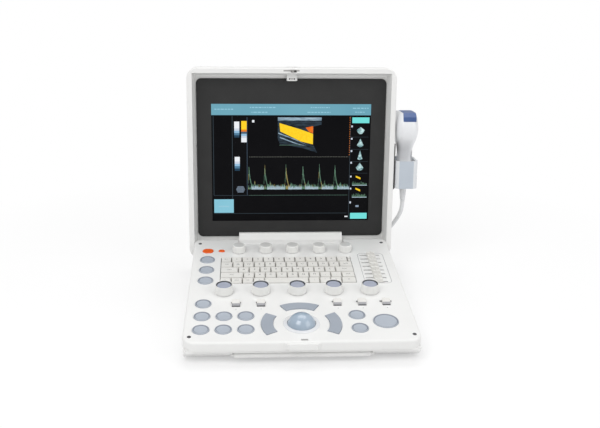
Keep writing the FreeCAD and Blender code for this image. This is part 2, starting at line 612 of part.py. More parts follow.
def make_boards():
    deck_board = new_body("control_board", DECK, z=-size.deck_board_drop)
    sheet_outline = new_sketch(deck_board, "XY")
    margin = size.wall + 3
    add_box(sheet_outline, margin - half_deck, half_deck - margin,
            10 - size.deck_front + size.wall, -size.pot_row + size.pot_radius)
    extrude(deck_board, sheet_outline, size.board_thickness, flip=True)
    cut_front = 20 - SIZES["deck_front"]
    dress(deck_board, lambda edge: along(edge, 2) and middle(edge).y < cut_front, size.front_corner / 2)
    passages = new_sketch(deck_board, "XY", 1)
    add_circle(passages, size.ball_x, -size.ball_row,
               size.ball_radius + size.ball_gap + size.cup_wall + 1)
    for x, y in SCREW_PLACES:
        add_circle(passages, x, y, size.post_radius + 1)
    extrude(deck_board, passages, size.board_thickness + 2, "Pocket")

    board = new_body("main_board", FLOOR, z=size.main_board_height)
    outline = new_sketch(board, "XY")
    half_board = size.main_board_width / 2
    board_rear = size.main_board_length - size.main_board_front
    add_box(outline, -half_board, half_board, -size.main_board_front, board_rear)
    extrude(board, outline, size.board_thickness)
    parts = new_sketch(board, "XY", size.board_thickness)
    for step in range(5):
        left = (step - 2.5) * size.main_board_width / 6 + 6
        chip = size.main_board_width / 14 + 2 * (step % 2)
        add_box(parts, left, left + chip, board_rear - 20 - chip, board_rear - 20)
    extrude(board, parts, size.board_thickness * 2)
    shields = new_sketch(board, "XY", size.board_thickness)
    near = size.shield_front - size.main_board_front
    for middle_x in (-half_board + size.shield_inset + size.shield_width / 2,
                     half_board - size.shield_inset - size.shield_width / 2):
        add_box(shields, middle_x - size.shield_width / 2, middle_x + size.shield_width / 2,
                near, near + size.shield_length)
    extrude(board, shields, size.shield_height)

    battery = new_body("battery_pack", FLOOR, x=-size.battery_x, y=-size.battery_y, z=shell_floor)
    case = new_sketch(battery, "XY")
    add_box(case, -size.battery_width / 2, size.battery_width / 2,
            -size.battery_length / 2, size.battery_length / 2)
    extrude(battery, case, size.battery_height)
    dress(battery, lambda edge: along(edge, 2), 4)
    top = size.battery_height.value
    dress(battery, lambda edge: level_at(edge, 2, top), 2)

    rotor = new_body("fan_rotor", FLOOR, x=size.fan_x, y=-size.fan_y, z=shell_floor + 1)
    hub = new_sketch(rotor, "XY")
    add_circle(hub, 0, 0, size.fan_hub)
    extrude(rotor, hub, size.fan_height)
    blade_sketch = new_sketch(rotor, "XY")
    reach = size.fan_radius
    add_polygon(blade_sketch, [(size.fan_hub - 1, 0), (reach - 1, 4), (reach - 1, 4 + size.fan_blade),
                               (size.fan_hub - 1, size.fan_blade)])
    blade = extrude(rotor, blade_sketch, size.fan_height - 1)
    blades = rotor.newObject("PartDesign::PolarPattern", "fan_blades")
    blades.Originals = [blade]
    blades.Axis = (blade_sketch, ["N_Axis"])
    blades.Angle = 360
    blades.Occurrences = 9
    rotor.Tip = blades
    doc.recompute()
    bore = new_sketch(rotor, "XY", -1)
    add_circle(bore, 0, 0, size.fan_pin + size.running_clearance)
    extrude(rotor, bore, size.fan_height + 2, "Pocket", flip=True)


def make_screws():
    """Four case screws, each a head and a shank, driven up from below."""
    screws = new_body("case_screws", FLOOR)
    heads = new_sketch(screws, "XY", size.foot_height - 0.3)
    shanks = new_sketch(screws, "XY", size.foot_height + size.screw_head_height - 1)
    for x, y in SCREW_PLACES:
        add_circle(heads, x, y, size.screw_head)
        add_circle(shanks, x, y, size.screw_radius)
    extrude(screws, heads, size.screw_head_height - 0.2)
    extrude(screws, shanks, size.foot_height * 3)


# ---------------------------------------------------------------- Trackball
def make_trackball():
    ball = new_body("trackball", DECK, size.ball_x, -size.ball_row, -size.ball_sink)
    half_disc = new_sketch(ball, "XZ")
    radius = size.ball_radius
    circle = Part.Circle(FreeCAD.Vector(0, 0, 0), FreeCAD.Vector(0, 0, 1), radius.value)
    arc = half_disc.addGeometry(Part.ArcOfCircle(circle, -math.pi / 2, math.pi / 2), False)
    chord = half_disc.addGeometry(Part.LineSegment(FreeCAD.Vector(0, radius.value, 0),
                                                   FreeCAD.Vector(0, -radius.value, 0)), False)
    constrain(half_disc, "Coincident", arc, 2, chord, 1)
    constrain(half_disc, "Coincident", chord, 2, arc, 1)
    pin_point(half_disc, arc, 3, 0, 0)
    constrain(half_disc, "Radius", arc, formula=radius)
    constrain(half_disc, "Vertical", chord)
    revolve(ball, half_disc)

    cup = new_body("trackball_cup", DECK, size.ball_x, -size.ball_row, -size.ball_sink)
    inner = size.ball_radius + size.ball_gap
    outer = inner + size.cup_wall
    solid = new_sketch(cup, "XZ")
    add_polygon(solid, [(0, -outer), (outer * 0.55, -outer), (outer * 0.9, -outer * 0.6),
                        (outer, -outer * 0.2), (outer, size.ball_sink), (size.ring_radius, size.ball_sink),
                        (size.ring_radius, size.ball_sink + size.ring_rise / 2),
                        (size.ring_radius - size.ring_rise, size.ball_sink + size.ring_rise),
                        (0, size.ball_sink + size.ring_rise)])
    revolve(cup, solid)
    hollow = new_sketch(cup, "XZ")
    circle = Part.Circle(FreeCAD.Vector(0, 0, 0), FreeCAD.Vector(0, 0, 1), inner.value)
    arc = hollow.addGeometry(Part.ArcOfCircle(circle, -math.pi / 2, math.pi / 2), False)
    chord = hollow.addGeometry(Part.LineSegment(FreeCAD.Vector(0, inner.value, 0),
                                                FreeCAD.Vector(0, -inner.value, 0)), False)
    constrain(hollow, "Coincident", arc, 2, chord, 1)
    constrain(hollow, "Coincident", chord, 2, arc, 1)
    pin_point(hollow, arc, 3, 0, 0)
    constrain(hollow, "Radius", arc, formula=inner)
    constrain(hollow, "Vertical", chord)
    revolve(cup, hollow, kind="Groove")


# ---------------------------------------------------------------- Keys
def make_key_group(label, places, radius):
    """Round caps that pass through the deck, each with a retaining flange and a switch stem."""
    body = new_body(label, DECK)
    for low, high, width in ((-size.key_skirt, size.key_rise, radius),
                             (-size.key_skirt - size.key_flange_height, -size.key_skirt,
                              radius + size.key_flange),
                             (-size.key_stem_end, -size.key_skirt - size.key_flange_height,
                              size.key_stem)):
        sketch = new_sketch(body, "XY", low)
        for x, row in places:
            add_circle(sketch, x, -row, width)
        extrude(body, sketch, high - low)
    top = size.key_rise.value
    dress(body, lambda edge: level_at(edge, 2, top), size.key_edge, "Chamfer")
    dishes = new_sketch(body, "XY", size.key_rise)
    for x, row in places:
        add_circle(dishes, x, -row, radius - size.key_dish_rim)
    extrude(body, dishes, size.key_dish, "Pocket", taper=-size.key_dish_slope)


def make_oval_key(label, x, length, width, rise):
    """An oval cap with the same flange and stem."""
    body = new_body(label, DECK, -x, -size.power_row)
    for low, high, grow in ((-size.key_skirt, rise, 0),
                            (-size.key_skirt - size.key_flange_height, -size.key_skirt,
                             size.key_flange)):
        sketch = new_sketch(body, "XY", low)
        add_rounded_box(sketch, -length / 2 - grow, length / 2 + grow, -width / 2 - grow,
                        width / 2 + grow, width / 2 + grow - 0.2)
        extrude(body, sketch, high - low)
    stem = new_sketch(body, "XY", -size.key_stem_end)
    add_circle(stem, 0, 0, size.key_stem)
    extrude(body, stem, size.key_stem_end - size.key_skirt - size.key_flange_height)
    dress(body, lambda edge: level_at(edge, 2, rise.value), size.key_edge)


def make_arc_key(label, turn):
    body = new_body(label, DECK, size.ball_x, -size.ball_row, 0, turn)
    cap = new_sketch(body, "XZ")
    add_box(cap, size.arc_inner, size.arc_outer, -size.key_skirt, size.key_rise)
    revolve(body, cap, angle=size.arc_angle, midplane=True)
    top = size.key_rise.value
    dress(body, lambda edge: level_at(edge, 2, top), size.key_edge)
    flange = new_sketch(body, "XZ")
    add_box(flange, size.arc_inner - size.key_flange, size.arc_outer + size.key_flange,
            -size.key_skirt - size.key_flange_height, -size.key_skirt)
    revolve(body, flange, angle=size.arc_angle + 3, midplane=True)
    stem = new_sketch(body, "XY", -size.key_stem_end)
    add_circle(stem, (size.arc_inner + size.arc_outer) / 2, 0, size.key_stem)
    extrude(body, stem, size.key_stem_end - size.key_skirt - size.key_flange_height / 2)


def make_keyboard():
    """Five rows of keycaps; each row starts further in, and its end keys take up what is left."""
    body = new_body("keyboard", DECK)
    half_gap = size.keycap_gap / 2
    stagger = (size.row_one_joint, size.row_two_joint, size.row_three_joint, size.row_four_joint,
               size.row_five_joint)
    steps = (range(12), range(11), range(10), range(10), (0, 1, 2, 3, 7, 8, 9, 10))
    for row, (first_joint, joints) in enumerate(zip(stagger, steps)):
        caps = new_sketch(body, "XY", -size.skin)
        far = -size.keyboard_start - size.keyrow_pitch * row - half_gap
        near = -size.keyboard_start - size.keyrow_pitch * (row + 1) + half_gap
        edges = [-size.keyboard_left] + [size.keycap_pitch * step - first_joint for step in joints]
        edges.append(size.keyboard_right)
        for left, right in zip(edges, edges[1:]):
            add_box(caps, left + half_gap, right - half_gap, near, far)
        extrude(body, caps, size.skin + size.keycap_rise, taper=-size.keycap_taper)
    carrier = new_sketch(body, "XY", -size.keycap_depth)
    add_box(carrier, half_gap - size.keyboard_left, size.keyboard_right - half_gap,
            half_gap - size.keyboard_start - 5 * size.keyrow_pitch, -size.keyboard_start - half_gap)
    extrude(body, carrier, size.keycap_depth - size.skin)


# ---------------------------------------------------------------- Knobs, toggles and faders
def make_dial(label, x):
    """A push-button-sized encoder knob: flared skirt, dished cap and shaft, turned in one profile."""
    body = new_body(label, DECK, x, -size.dial_row)
    profile = new_sketch(body, "XZ")
    add_polygon(profile, [
        (0, -size.shaft_length), (size.shaft_radius, -size.shaft_length),
        (size.shaft_radius, size.knob_float), (size.dial_radius, size.knob_float),
        (size.dial_radius, size.knob_float + 1.5), (size.dial_top_radius, size.dial_height * 0.55),
        (size.dial_top_radius - 0.3, size.dial_height), (size.dial_dish_radius, size.dial_height),
        (size.dial_dish_radius - 0.8, size.dial_height - size.dial_dish),
        (0, size.dial_height - size.dial_dish * 0.6)])
    revolve(body, profile)
    top = size.dial_height.value
    dress(body, lambda edge: level_at(edge, 2, top), 0.35)


def make_pot(label, x):
    """A small white knob, narrower at its top."""
    body = new_body(label, DECK, x, -size.pot_row)
    profile = new_sketch(body, "XZ")
    add_polygon(profile, [
        (0, -size.shaft_length), (size.shaft_radius, -size.shaft_length),
        (size.shaft_radius, size.knob_float), (size.pot_radius, size.knob_float),
        (size.pot_radius, size.knob_float + 2), (size.pot_top_radius, size.pot_height),
        (0, size.pot_height)])
    revolve(body, profile)
    top = size.pot_height.value
    dress(body, lambda edge: level_at(edge, 2, top), 0.8)


def make_toggle(label, x):
    """A sprung paddle on a cross hub: concave towards the user, rounded at its tip."""
    body = new_body(label, DECK, x, -size.toggle_row)
    side = new_sketch(body, "YZ")
    half = size.toggle_length / 2
    add_polygon(side, [(-half * 0.6, -size.toggle_pivot), (-half, 0.4),
                       (-half * 0.7, size.toggle_rise * 0.55),
                       (0, size.toggle_rise), (half * 0.7, size.toggle_rise),
                       (half, size.toggle_rise * 0.5), (half * 0.6, -size.toggle_pivot)])
    extrude(body, side, size.toggle_width, both_sides=True)
    hub = new_sketch(body, "YZ")
    add_circle(hub, 0, -size.toggle_pivot, size.toggle_hub)
    extrude(body, hub, size.toggle_width, both_sides=True)


def make_fader(label, row):
    """A slider cap with a raised finger rib, on a blade that passes through its slot."""
    body = new_body(label, DECK, size.fader_x + size.fader_rest, -row)
    cap = new_sketch(body, "XY", size.knob_float)
    add_box(cap, -size.fader_width / 2, size.fader_width / 2, -size.fader_length / 2, size.fader_length / 2)
    extrude(body, cap, size.fader_height - size.knob_float, taper=-10)
    rib = new_sketch(body, "XZ")
    add_polygon(rib, [(-1, size.fader_height - 1), (1, size.fader_height - 1),
                      (0.6, size.fader_height + 0.8), (-0.6, size.fader_height + 0.8)])
    extrude(body, rib, size.fader_length - 2, both_sides=True)
    blade = new_sketch(body, "XY", -size.shaft_length + 1)
    add_box(blade, -size.fader_blade / 2, size.fader_blade / 2,
            -size.fader_blade_thickness / 2, size.fader_blade_thickness / 2)
    extrude(body, blade, size.shaft_length)


# ---------------------------------------------------------------- Carry handle
def make_handle():
    """A bail under the front edge: hub bar, two arms and a grip, with a stub pin at each end."""
    body = new_body("carry_handle", FLOOR, 0, -size.handle_pivot_front, size.handle_pivot_height)
    half_bar = size.handle_bar / 2
    hub = new_sketch(body, "YZ")
    add_circle(hub, 0, 0, half_bar)
    extrude(body, hub, size.handle_width, both_sides=True)
    loop = new_sketch(body, "XY", -half_bar)
    inner_half = handle_half - size.handle_arm
    add_box(loop, -handle_half, handle_half, 0, size.handle_length)
    add_box(loop, -inner_half, inner_half, 0.5, size.handle_length - size.handle_grip)
    extrude(body, loop, size.handle_bar)
    length = size.handle_length.value
    dress(body, lambda edge: along(edge, 2) and abs(middle(edge).y - length) < 0.1, 6)
    dress(body, lambda edge: level_at(edge, 2, -half_bar.value) and middle(edge).y > length - 30, 2.5)
    pins = new_sketch(body, "YZ")
    add_circle(pins, 0, 0, size.handle_pin)
    extrude(body, pins, size.handle_width + 2 * size.handle_pin_length, both_sides=True)


# ---------------------------------------------------------------- Lid
half_lid = size.lid_width / 2
rim_back = size.rim_front + size.rim_depth
parting = rim_back + size.lid_plate
lid_rear = size.rim_front + size.lid_thickness
module_half = size.screen_width / 2 + size.module_margin
module_low = size.screen_bottom - size.module_margin
module_high = size.screen_bottom + size.screen_height + size.module_margin
hook_front = size.rim_front - size.hook_reach


def make_lid_shells():
    back = new_body("lid_back", LID)
    outline = new_sketch(back, "XZ", lid_rear)
    add_rounded_box(outline, -half_lid, half_lid, -size.lid_bottom, size.lid_top, size.lid_corner)
    extrude(back, outline, lid_rear - parting)
    rear = lid_rear.value
    dress(back, lambda edge: level_at(edge, 1, rear), size.back_edge)
    inside = new_sketch(back, "XZ", parting)
    add_rounded_box(inside, size.back_edge - half_lid, half_lid - size.back_edge,
                    size.back_edge - size.lid_bottom, size.lid_top - size.back_edge, size.lid_corner / 2)
    extrude(back, inside, lid_rear - parting - size.wall, "Pocket")

    frame = new_body("lid_frame", LID)
    outline = new_sketch(frame, "XZ", parting)
    add_rounded_box(outline, -half_lid, half_lid, -size.lid_bottom, size.lid_top, size.lid_corner)
    extrude(frame, outline, parting - size.rim_front)
    dress(frame, lambda edge: level_at(edge, 1, SIZES["rim_front"]), 2)
    recess = new_sketch(frame, "XZ", size.rim_front)
    inner_half = half_lid - size.rim_width
    add_box(recess, -inner_half, inner_half, -size.lid_bottom - 2 * size.lid_corner,
            size.lid_top - size.rim_width)
    lean = Formula(math.degrees(math.atan2(SIZES["rim_slope"], SIZES["rim_depth"])),
                   f"atan2(dims.rim_slope; dims.rim_depth)")
    extrude(frame, recess, size.rim_depth, "Pocket", taper=-lean)
    window = new_sketch(frame, "XZ", rim_back - 1)
    add_box(window, -module_half, module_half, module_low, module_high)
    extrude(frame, window, size.lid_plate + 2, "Pocket")
    foot = new_sketch(frame, "YZ")
    low = -size.lid_bottom
    add_polygon(foot, [(rim_back - 1, low - 1), (parting, low - 1), (parting, low),
                       (rim_back, low + size.lid_chamfer), (rim_back - 1, low + size.lid_chamfer)])
    extrude(frame, foot, 2 * (inner_half - size.rim_slope), "Pocket", both_sides=True)

    slide_room = new_sketch(frame, "XZ", size.latch_back - size.latch_plate - size.latch_gap)
    add_box(slide_room, -size.latch_width / 2 - size.latch_gap,
            size.latch_width / 2 + size.latch_travel + size.latch_gap,
            size.latch_foot - size.latch_gap, size.lid_top + 1)
    extrude(frame, slide_room, size.latch_plate + 2 * size.latch_gap, "Pocket")
    hook_room = new_sketch(frame, "XZ", size.rim_front - 1)
    add_box(hook_room, -size.hook_width / 2 - size.latch_gap,
            size.hook_width / 2 + size.latch_travel + size.latch_gap,
            size.hook_rise - size.latch_gap, size.hook_rise + size.hook_thickness + size.latch_gap)
    extrude(frame, hook_room, size.latch_back - size.latch_plate - size.rim_front + 1, "Pocket")


def make_lid_front():
    bezel = new_body("screen_bezel", LID)
    face = new_sketch(bezel, "XZ", rim_back)
    bezel_half = half_lid - size.rim_width - size.rim_slope - size.bezel_margin
    add_rounded_box(face, -bezel_half, bezel_half, size.bezel_bottom, size.bezel_top, size.bezel_corner)
    add_box(face, -size.screen_width / 2, size.screen_width / 2, size.screen_bottom,
            size.screen_bottom + size.screen_height)
    extrude(bezel, face, size.bezel_thickness)
    notch = new_sketch(bezel, "XZ", size.rim_front)
    add_box(notch, -size.cover_width / 2 - size.play, size.cover_width / 2 + size.play, 0,
            size.cover_top + size.play)
    extrude(bezel, notch, size.rim_depth + 1, "Pocket")

    module = new_body("display_module", LID)
    glass = new_sketch(module, "XZ", rim_back + size.module_thickness)
    add_box(glass, size.play - module_half, module_half - size.play, module_low + size.play,
            module_high - size.play)
    extrude(module, glass, size.module_thickness)


def make_hinge():
    """The cover is the lid's neck: its barrel turns on two pins held in the deck's cheeks."""
    cover = new_body("hinge_cover", LID)
    barrel = new_sketch(cover, "YZ")
    add_circle(barrel, 0, 0, size.hinge_barrel)
    extrude(cover, barrel, size.cover_width, both_sides=True)
    neck = new_sketch(cover, "YZ")
    add_polygon(neck, [(0, -size.cover_neck), (size.cover_start, -size.cover_neck),
                       (size.cover_start, -size.cover_foot), (rim_back, -size.cover_foot),
                       (rim_back, size.cover_top), (size.cover_top_start, size.cover_top),
                       (size.cover_start, size.cover_shoulder), (size.cover_start, size.cover_neck),
                       (0, size.cover_neck)])
    extrude(cover, neck, size.cover_width, both_sides=True)
    top = size.cover_top.value
    front = size.cover_top_start.value
    dress(cover, lambda edge: along(edge, 0) and abs(middle(edge).z - top) < 0.01
          and abs(middle(edge).y - front) < 0.01, 2)
    for side in (-1, 1):
        bore = new_sketch(cover, "YZ", side * (size.cover_width / 2 + 1))
        add_circle(bore, 0, 0, size.hinge_pin + size.running_clearance)
        extrude(cover, bore, size.hinge_pin_length, "Pocket", flip=side < 0)

    pins = new_body("hinge_pins", DECK)
    for side in (-1, 1):
        far = well_half + size.well_cheek - 1
        near = size.cover_width / 2 + 2 - size.hinge_pin_length
        end = new_sketch(pins, "YZ", side * far)
        add_circle(end, -size.hinge_back, -size.hinge_drop, size.hinge_pin)
        extrude(pins, end, far - near, flip=side > 0)


def make_latch():
    latch = new_body("latch_slider", LID)
    plate = new_sketch(latch, "XZ", size.latch_back)
    add_box(plate, -size.latch_width / 2, size.latch_width / 2, size.latch_foot,
            size.lid_top + size.thumb_height)
    extrude(latch, plate, size.latch_plate)
    hook = new_sketch(latch, "XZ", size.latch_back - size.latch_plate)
    add_box(hook, -size.hook_width / 2, size.hook_width / 2, size.hook_rise,
            size.hook_rise + size.hook_thickness)
    extrude(latch, hook, size.latch_back - size.latch_plate - hook_front)


# ---------------------------------------------------------------- Probe and its cup
holder_left = half_lid + size.bracket
holder_right = holder_left + size.holder_width
holder_back = size.holder_front + size.holder_depth
probe_middle = size.holder_front + size.holder_depth / 2
probe_x = holder_left + size.holder_width / 2
coil_x = probe_x - size.coil_offset
cup_floor = size.holder_bottom + size.holder_floor


def make_holder():
    holder = new_body("probe_holder", LID)
    outline = new_sketch(holder, "XY", size.holder_bottom)
    add_rounded_box(outline, holder_left, holder_right, size.holder_front, holder_back, size.holder_corner)
    extrude(holder, outline, size.holder_height)
    cup = new_sketch(holder, "XY", cup_floor)
    wall = size.holder_wall
    add_rounded_box(cup, holder_left + wall, holder_right - wall, size.holder_front + wall,
                    holder_back - wall, size.holder_corner - wall)
    extrude(holder, cup, size.holder_height, "Pocket", flip=True)
    outlet = new_sketch(holder, "XY", size.holder_bottom - 1)
    slot_half = size.relief_top_radius + 1.5
    add_box(outlet, probe_x - slot_half, probe_x + slot_half, probe_middle - slot_half,
            holder_back + 1)
    extrude(holder, outlet, size.holder_floor + 2, "Pocket", flip=True)
    gate = new_sketch(holder, "XY", size.holder_bottom - 1)
    gate_half = size.cord_radius + 1.5
    add_box(gate, probe_x - gate_half, probe_x + gate_half, holder_back - wall - 1,
            holder_back + 1)
    extrude(holder, gate, size.holder_height + 2, "Pocket", flip=True)
    bracket = new_sketch(holder, "YZ", half_lid)
    back = size.holder_front + size.bracket_depth
    add_rounded_box(bracket, size.rim_front + 2, back, size.holder_bottom - 2, size.bracket_top, 4)
    extrude(holder, bracket, size.bracket + 0.01)


def make_probe():
    """The handpiece is lofted through rounded sections; the lens sits in a channel over its end."""
    probe = new_body("probe_housing", LID)
    sections = ((cup_floor, size.neck_width - 2, size.neck_depth - 4, 6),
                (cup_floor + 14, size.neck_width, size.neck_depth, 8),
                (size.neck_top, size.neck_width, size.neck_depth, 9),
                (size.head_bottom, size.head_width, size.head_depth, 12),
                (size.head_top - 12, size.head_width - 0.5, size.head_depth + 1, 12),
                (size.head_top, size.head_width - 7, size.head_depth - 7, 9))
    sketches = []
    for height, width, depth, corner in sections:
        sketch = new_sketch(probe, "XY", height)
        add_rounded_box(sketch, probe_x - width / 2, probe_x + width / 2,
                        probe_middle - depth / 2, probe_middle + depth / 2, corner)
        sketches.append(sketch)
    loft = probe.newObject("PartDesign::AdditiveLoft", "probe_loft")
    loft.Profile = sketches[0]
    loft.Sections = [(sketch, [""]) for sketch in sketches[1:]]
    loft.Ruled = False
    probe.Tip = loft
    doc.recompute()
    channel = new_sketch(probe, "XZ", probe_middle)
    lens_x = probe_x + size.lens_shift
    add_box(channel, lens_x - size.lens_width / 2, lens_x + size.lens_width / 2,
            size.head_top - size.lens_height, size.head_top + 2)
    extrude(probe, channel, 2 * size.head_depth, "Pocket", both_sides=True)

    lens = new_body("probe_lens", LID)
    side = new_sketch(lens, "YZ", lens_x)
    half = size.head_depth / 2
    low = size.head_top - size.lens_height
    add_polygon(side, [(probe_middle - half, low), (probe_middle + half, low),
                       (probe_middle + half, size.head_top - 6), (probe_middle + half - 7, size.head_top),
                       (probe_middle, size.head_top + 0.6),
                       (probe_middle - half + 7, size.head_top), (probe_middle - half, size.head_top - 6)])
    extrude(lens, side, size.lens_width, both_sides=True)
    dress(lens, lambda edge: abs(middle(edge).x - lens_x.value) > size.lens_width.value / 2 - 0.01
          and middle(edge).z > size.head_top.value - 1, 1.5)

    relief = doc.addObject("Part::Cone", "relief")
    relief.setExpression("Radius1", size.relief_radius.text)
    relief.setExpression("Radius2", size.relief_top_radius.text)
    relief.setExpression("Height", (cup_floor - size.relief_end).text)
    name_piece(relief, "probe_strain_relief", LID, probe_x, probe_middle, size.relief_end)


# ---------------------------------------------------------------- Probe cord
def lid_point(y, z):
    """A point of the probe's axis, from the LID frame to the FLOOR frame."""
    lean = math.radians(SIZES["lid_lean"])
    return FreeCAD.Vector(probe_x.value, hinge_y.value + y * math.cos(lean) + z * math.sin(lean),
                          hinge_z.value + z * math.cos(lean) - y * math.sin(lean))


def cord_route():
    start = lid_point(probe_middle.value, SIZES["relief_end"])
    below = lid_point(probe_middle.value, SIZES["relief_end"] - 13)
    free = ((-3.75, 38.0, 88.0), (-11.25, 46.0, 71.0), (-20.25, 56.0, 54.0), (-29.75, 66.0, 39.0),
            (-39.25, 76.5, 27.0), (-49.25, 87.5, 18.5), (-60.75, 98.5, 16.1), (-69.25, 112.0, 16.1))
    points = [FreeCAD.Vector(probe_x.value + x, y, z) for x, y, z in free]
    end = FreeCAD.Vector(coil_x.value + SIZES["coil_radius"], SIZES["coil_y"], points[-1].z)
    return [start, below] + points + [end]


def round_path(points):
    """Straight runs joined by tangent arcs, each as large as its two runs allow."""
    edges = []
    radii = []
    last = points[0]
    for before, corner, after in zip(points, points[1:], points[2:]):
        way_in = (corner - before).normalize()
        way_out = (after - corner).normalize()
        turn = way_in.getAngle(way_out)
        reach = 0.45 * min((corner - before).Length, (after - corner).Length)
        radii.append(reach / math.tan(turn / 2))
        start = corner - way_in * reach
        end = corner + way_out * reach
        inward = (way_out - way_in).normalize()
        centre = corner + inward * (radii[-1] / math.cos(turn / 2))
        crown = centre - inward * radii[-1]
        edges.append(Part.LineSegment(last, start).toShape())
        edges.append(Part.Arc(start, crown, end).toShape())
        last = end
    edges.append(Part.LineSegment(last, points[-1]).toShape())
    return Part.Wire(edges), radii


def make_cord():
    points = cord_route()
    path, radii = round_path(points)
    radius = SIZES["cord_radius"]
    section = Part.Wire([Part.Circle(points[0], points[1] - points[0], radius).toShape()])
    tube = path.makePipeShell([section], True, False)
    print("cord arcs, mm:", [round(item, 1) for item in radii])
    print("cord volume over section times length:",
          round(tube.Volume / (math.pi * radius ** 2 * path.Length), 4), "length", round(path.Length, 1))
    cord = doc.addObject("Part::Feature", "cord")
    cord.Shape = tube
    name_piece(cord, "probe_cord", FLOOR)

    coil = new_body("cord_coil", FLOOR, coil_x, size.coil_y)
    ring = new_sketch(coil, "XZ")
    inner = size.coil_radius - size.coil_width / 2
    outer = size.coil_radius + size.coil_width / 2
    add_rounded_box(ring, inner, outer, 0, size.coil_height, size.cord_radius)
    revolve(coil, ring)

    plug = new_body("probe_plug", FLOOR, coil_x, size.coil_y + size.coil_radius + 2 * size.cord_radius)
    case = new_sketch(plug, "XY")
    near = -size.plug_reach - size.plug_collar_length
    half_width = size.probe_plug_width / 2
    add_rounded_box(case, near - size.probe_plug_length, near, -half_width, half_width, 5)
    extrude(plug, case, size.probe_plug_height)
    top = size.probe_plug_height.value
    dress(plug, lambda edge: level_at(edge, 2, top), 2.5)
    collar = new_sketch(plug, "YZ", near - 1)
    add_circle(collar, 0, size.plug_collar_radius, size.plug_collar_radius)
    extrude(plug, collar, size.plug_collar_length + 1)
    tail = new_sketch(plug, "YZ", -size.plug_reach - 1)
    add_circle(tail, 0, size.plug_collar_radius, size.cord_radius - size.running_clearance)
    extrude(plug, tail, size.plug_reach)
    contacts = new_sketch(plug, "YZ", near - size.probe_plug_length + 1)
    add_box(contacts, -half_width * 2 / 3, half_width * 2 / 3, 3, size.probe_plug_height - 3)
    extrude(plug, contacts, 7, flip=True)


# ---------------------------------------------------------------- Build
make_upper_shell()
make_lower_shell()
make_pads()
make_boards()
make_screws()
make_trackball()
for group, places in KEY_GROUPS.items():
    make_key_group(group, places, size.key_radius)
make_key_group("key_enter", [(size.enter_x, size.enter_row)], size.enter_radius)
make_oval_key("power_key", size.power_x, size.power_length, size.power_width, size.key_rise)
make_oval_key("standby_key", size.lamp_x, size.lamp_length, size.lamp_width, size.key_rise)
for label, turn in ARC_KEYS.items():
    make_arc_key(label, turn)
make_keyboard()
for index in range(5):
    make_dial(f"dial_{index + 1}", DIAL_PLACES[index])
    make_pot(f"pot_knob_{index + 1}", POT_PLACES[index])
    make_toggle(f"toggle_{index + 1}", TOGGLE_PLACES[index])
for index, row in enumerate(FADER_ROWS):
    make_fader(f"fader_{index + 1}", row)
make_handle()
make_lid_shells()
make_lid_front()
make_hinge()
make_latch()
make_holder()
make_probe()
make_cord()
doc.recompute()

for item in doc.Objects:
    if "Invalid" in item.State or "Error" in item.State:
        raise RuntimeError(f"{item.Label}: {item.State}")
for piece in pieces:
    if piece.Shape.isNull() or not piece.Shape.isValid():
        raise RuntimeError(f"{piece.Label}: shape is not valid")
os.makedirs("parts", exist_ok=True)
for piece in pieces:
    piece.Shape.exportStep(f"parts/{piece.Label}.step")
print(len(pieces), "sub-parts written")
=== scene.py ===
import json
import math
import random

import bmesh
import bpy
from mathutils import Matrix, Vector


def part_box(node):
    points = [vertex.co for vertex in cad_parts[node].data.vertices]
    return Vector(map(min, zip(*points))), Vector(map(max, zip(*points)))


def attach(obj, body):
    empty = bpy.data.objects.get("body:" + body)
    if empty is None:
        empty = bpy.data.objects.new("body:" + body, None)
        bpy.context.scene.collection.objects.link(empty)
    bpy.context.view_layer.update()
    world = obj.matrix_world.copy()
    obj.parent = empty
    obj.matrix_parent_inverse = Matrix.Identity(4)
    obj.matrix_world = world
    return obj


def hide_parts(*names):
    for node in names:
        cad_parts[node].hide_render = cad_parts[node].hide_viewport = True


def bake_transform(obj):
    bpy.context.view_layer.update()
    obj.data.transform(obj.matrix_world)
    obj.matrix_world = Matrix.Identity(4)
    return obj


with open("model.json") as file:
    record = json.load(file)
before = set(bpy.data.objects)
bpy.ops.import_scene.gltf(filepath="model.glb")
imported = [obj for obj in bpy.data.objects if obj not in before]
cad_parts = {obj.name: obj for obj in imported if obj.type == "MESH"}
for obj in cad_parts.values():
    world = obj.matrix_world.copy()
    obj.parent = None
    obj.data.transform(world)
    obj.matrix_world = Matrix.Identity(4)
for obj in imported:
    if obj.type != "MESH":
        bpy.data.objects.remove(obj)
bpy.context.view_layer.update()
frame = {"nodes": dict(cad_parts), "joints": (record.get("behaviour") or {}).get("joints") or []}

# Looks of a portable ultrasound scanner, in metres in the row's frame.  MM turns a drawing's
# millimetres into them.
MM = 0.001
nodes = frame["nodes"]
joints = {joint["name"]: joint for joint in frame["joints"]}

# ---------------------------------------------------------------- Working frames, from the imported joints
POT_ROW = 27.2 * MM
LID_LEAN = 4.5
LCD_WIDTH, LCD_HEIGHT, LCD_BOTTOM = 245.8, 184.3, 37.7
LCD_FACE = 26.5

pot_centre = Vector(joints["pot_knob_3_turn"]["pos_m"])
dial_centre = Vector(joints["dial_3_turn"]["pos_m"])
deck_back = (pot_centre - dial_centre).normalized()
deck_up = Vector(joints["dial_3_turn"]["axis"]).normalized()
deck_origin = pot_centre + deck_back * POT_ROW
DECK = Matrix.Translation(deck_origin) @ Matrix((Vector((1, 0, 0)), deck_back, deck_up)).transposed().to_4x4()
LID = (Matrix.Translation(Vector(joints["lid_tilt"]["pos_m"]))
       @ Matrix.Rotation(math.radians(-LID_LEAN), 4, "X"))


# ---------------------------------------------------------------- Materials
def new_material(name):
    material = bpy.data.materials.new(name)
    material.use_nodes = True
    return material, material.node_tree.nodes, material.node_tree.links


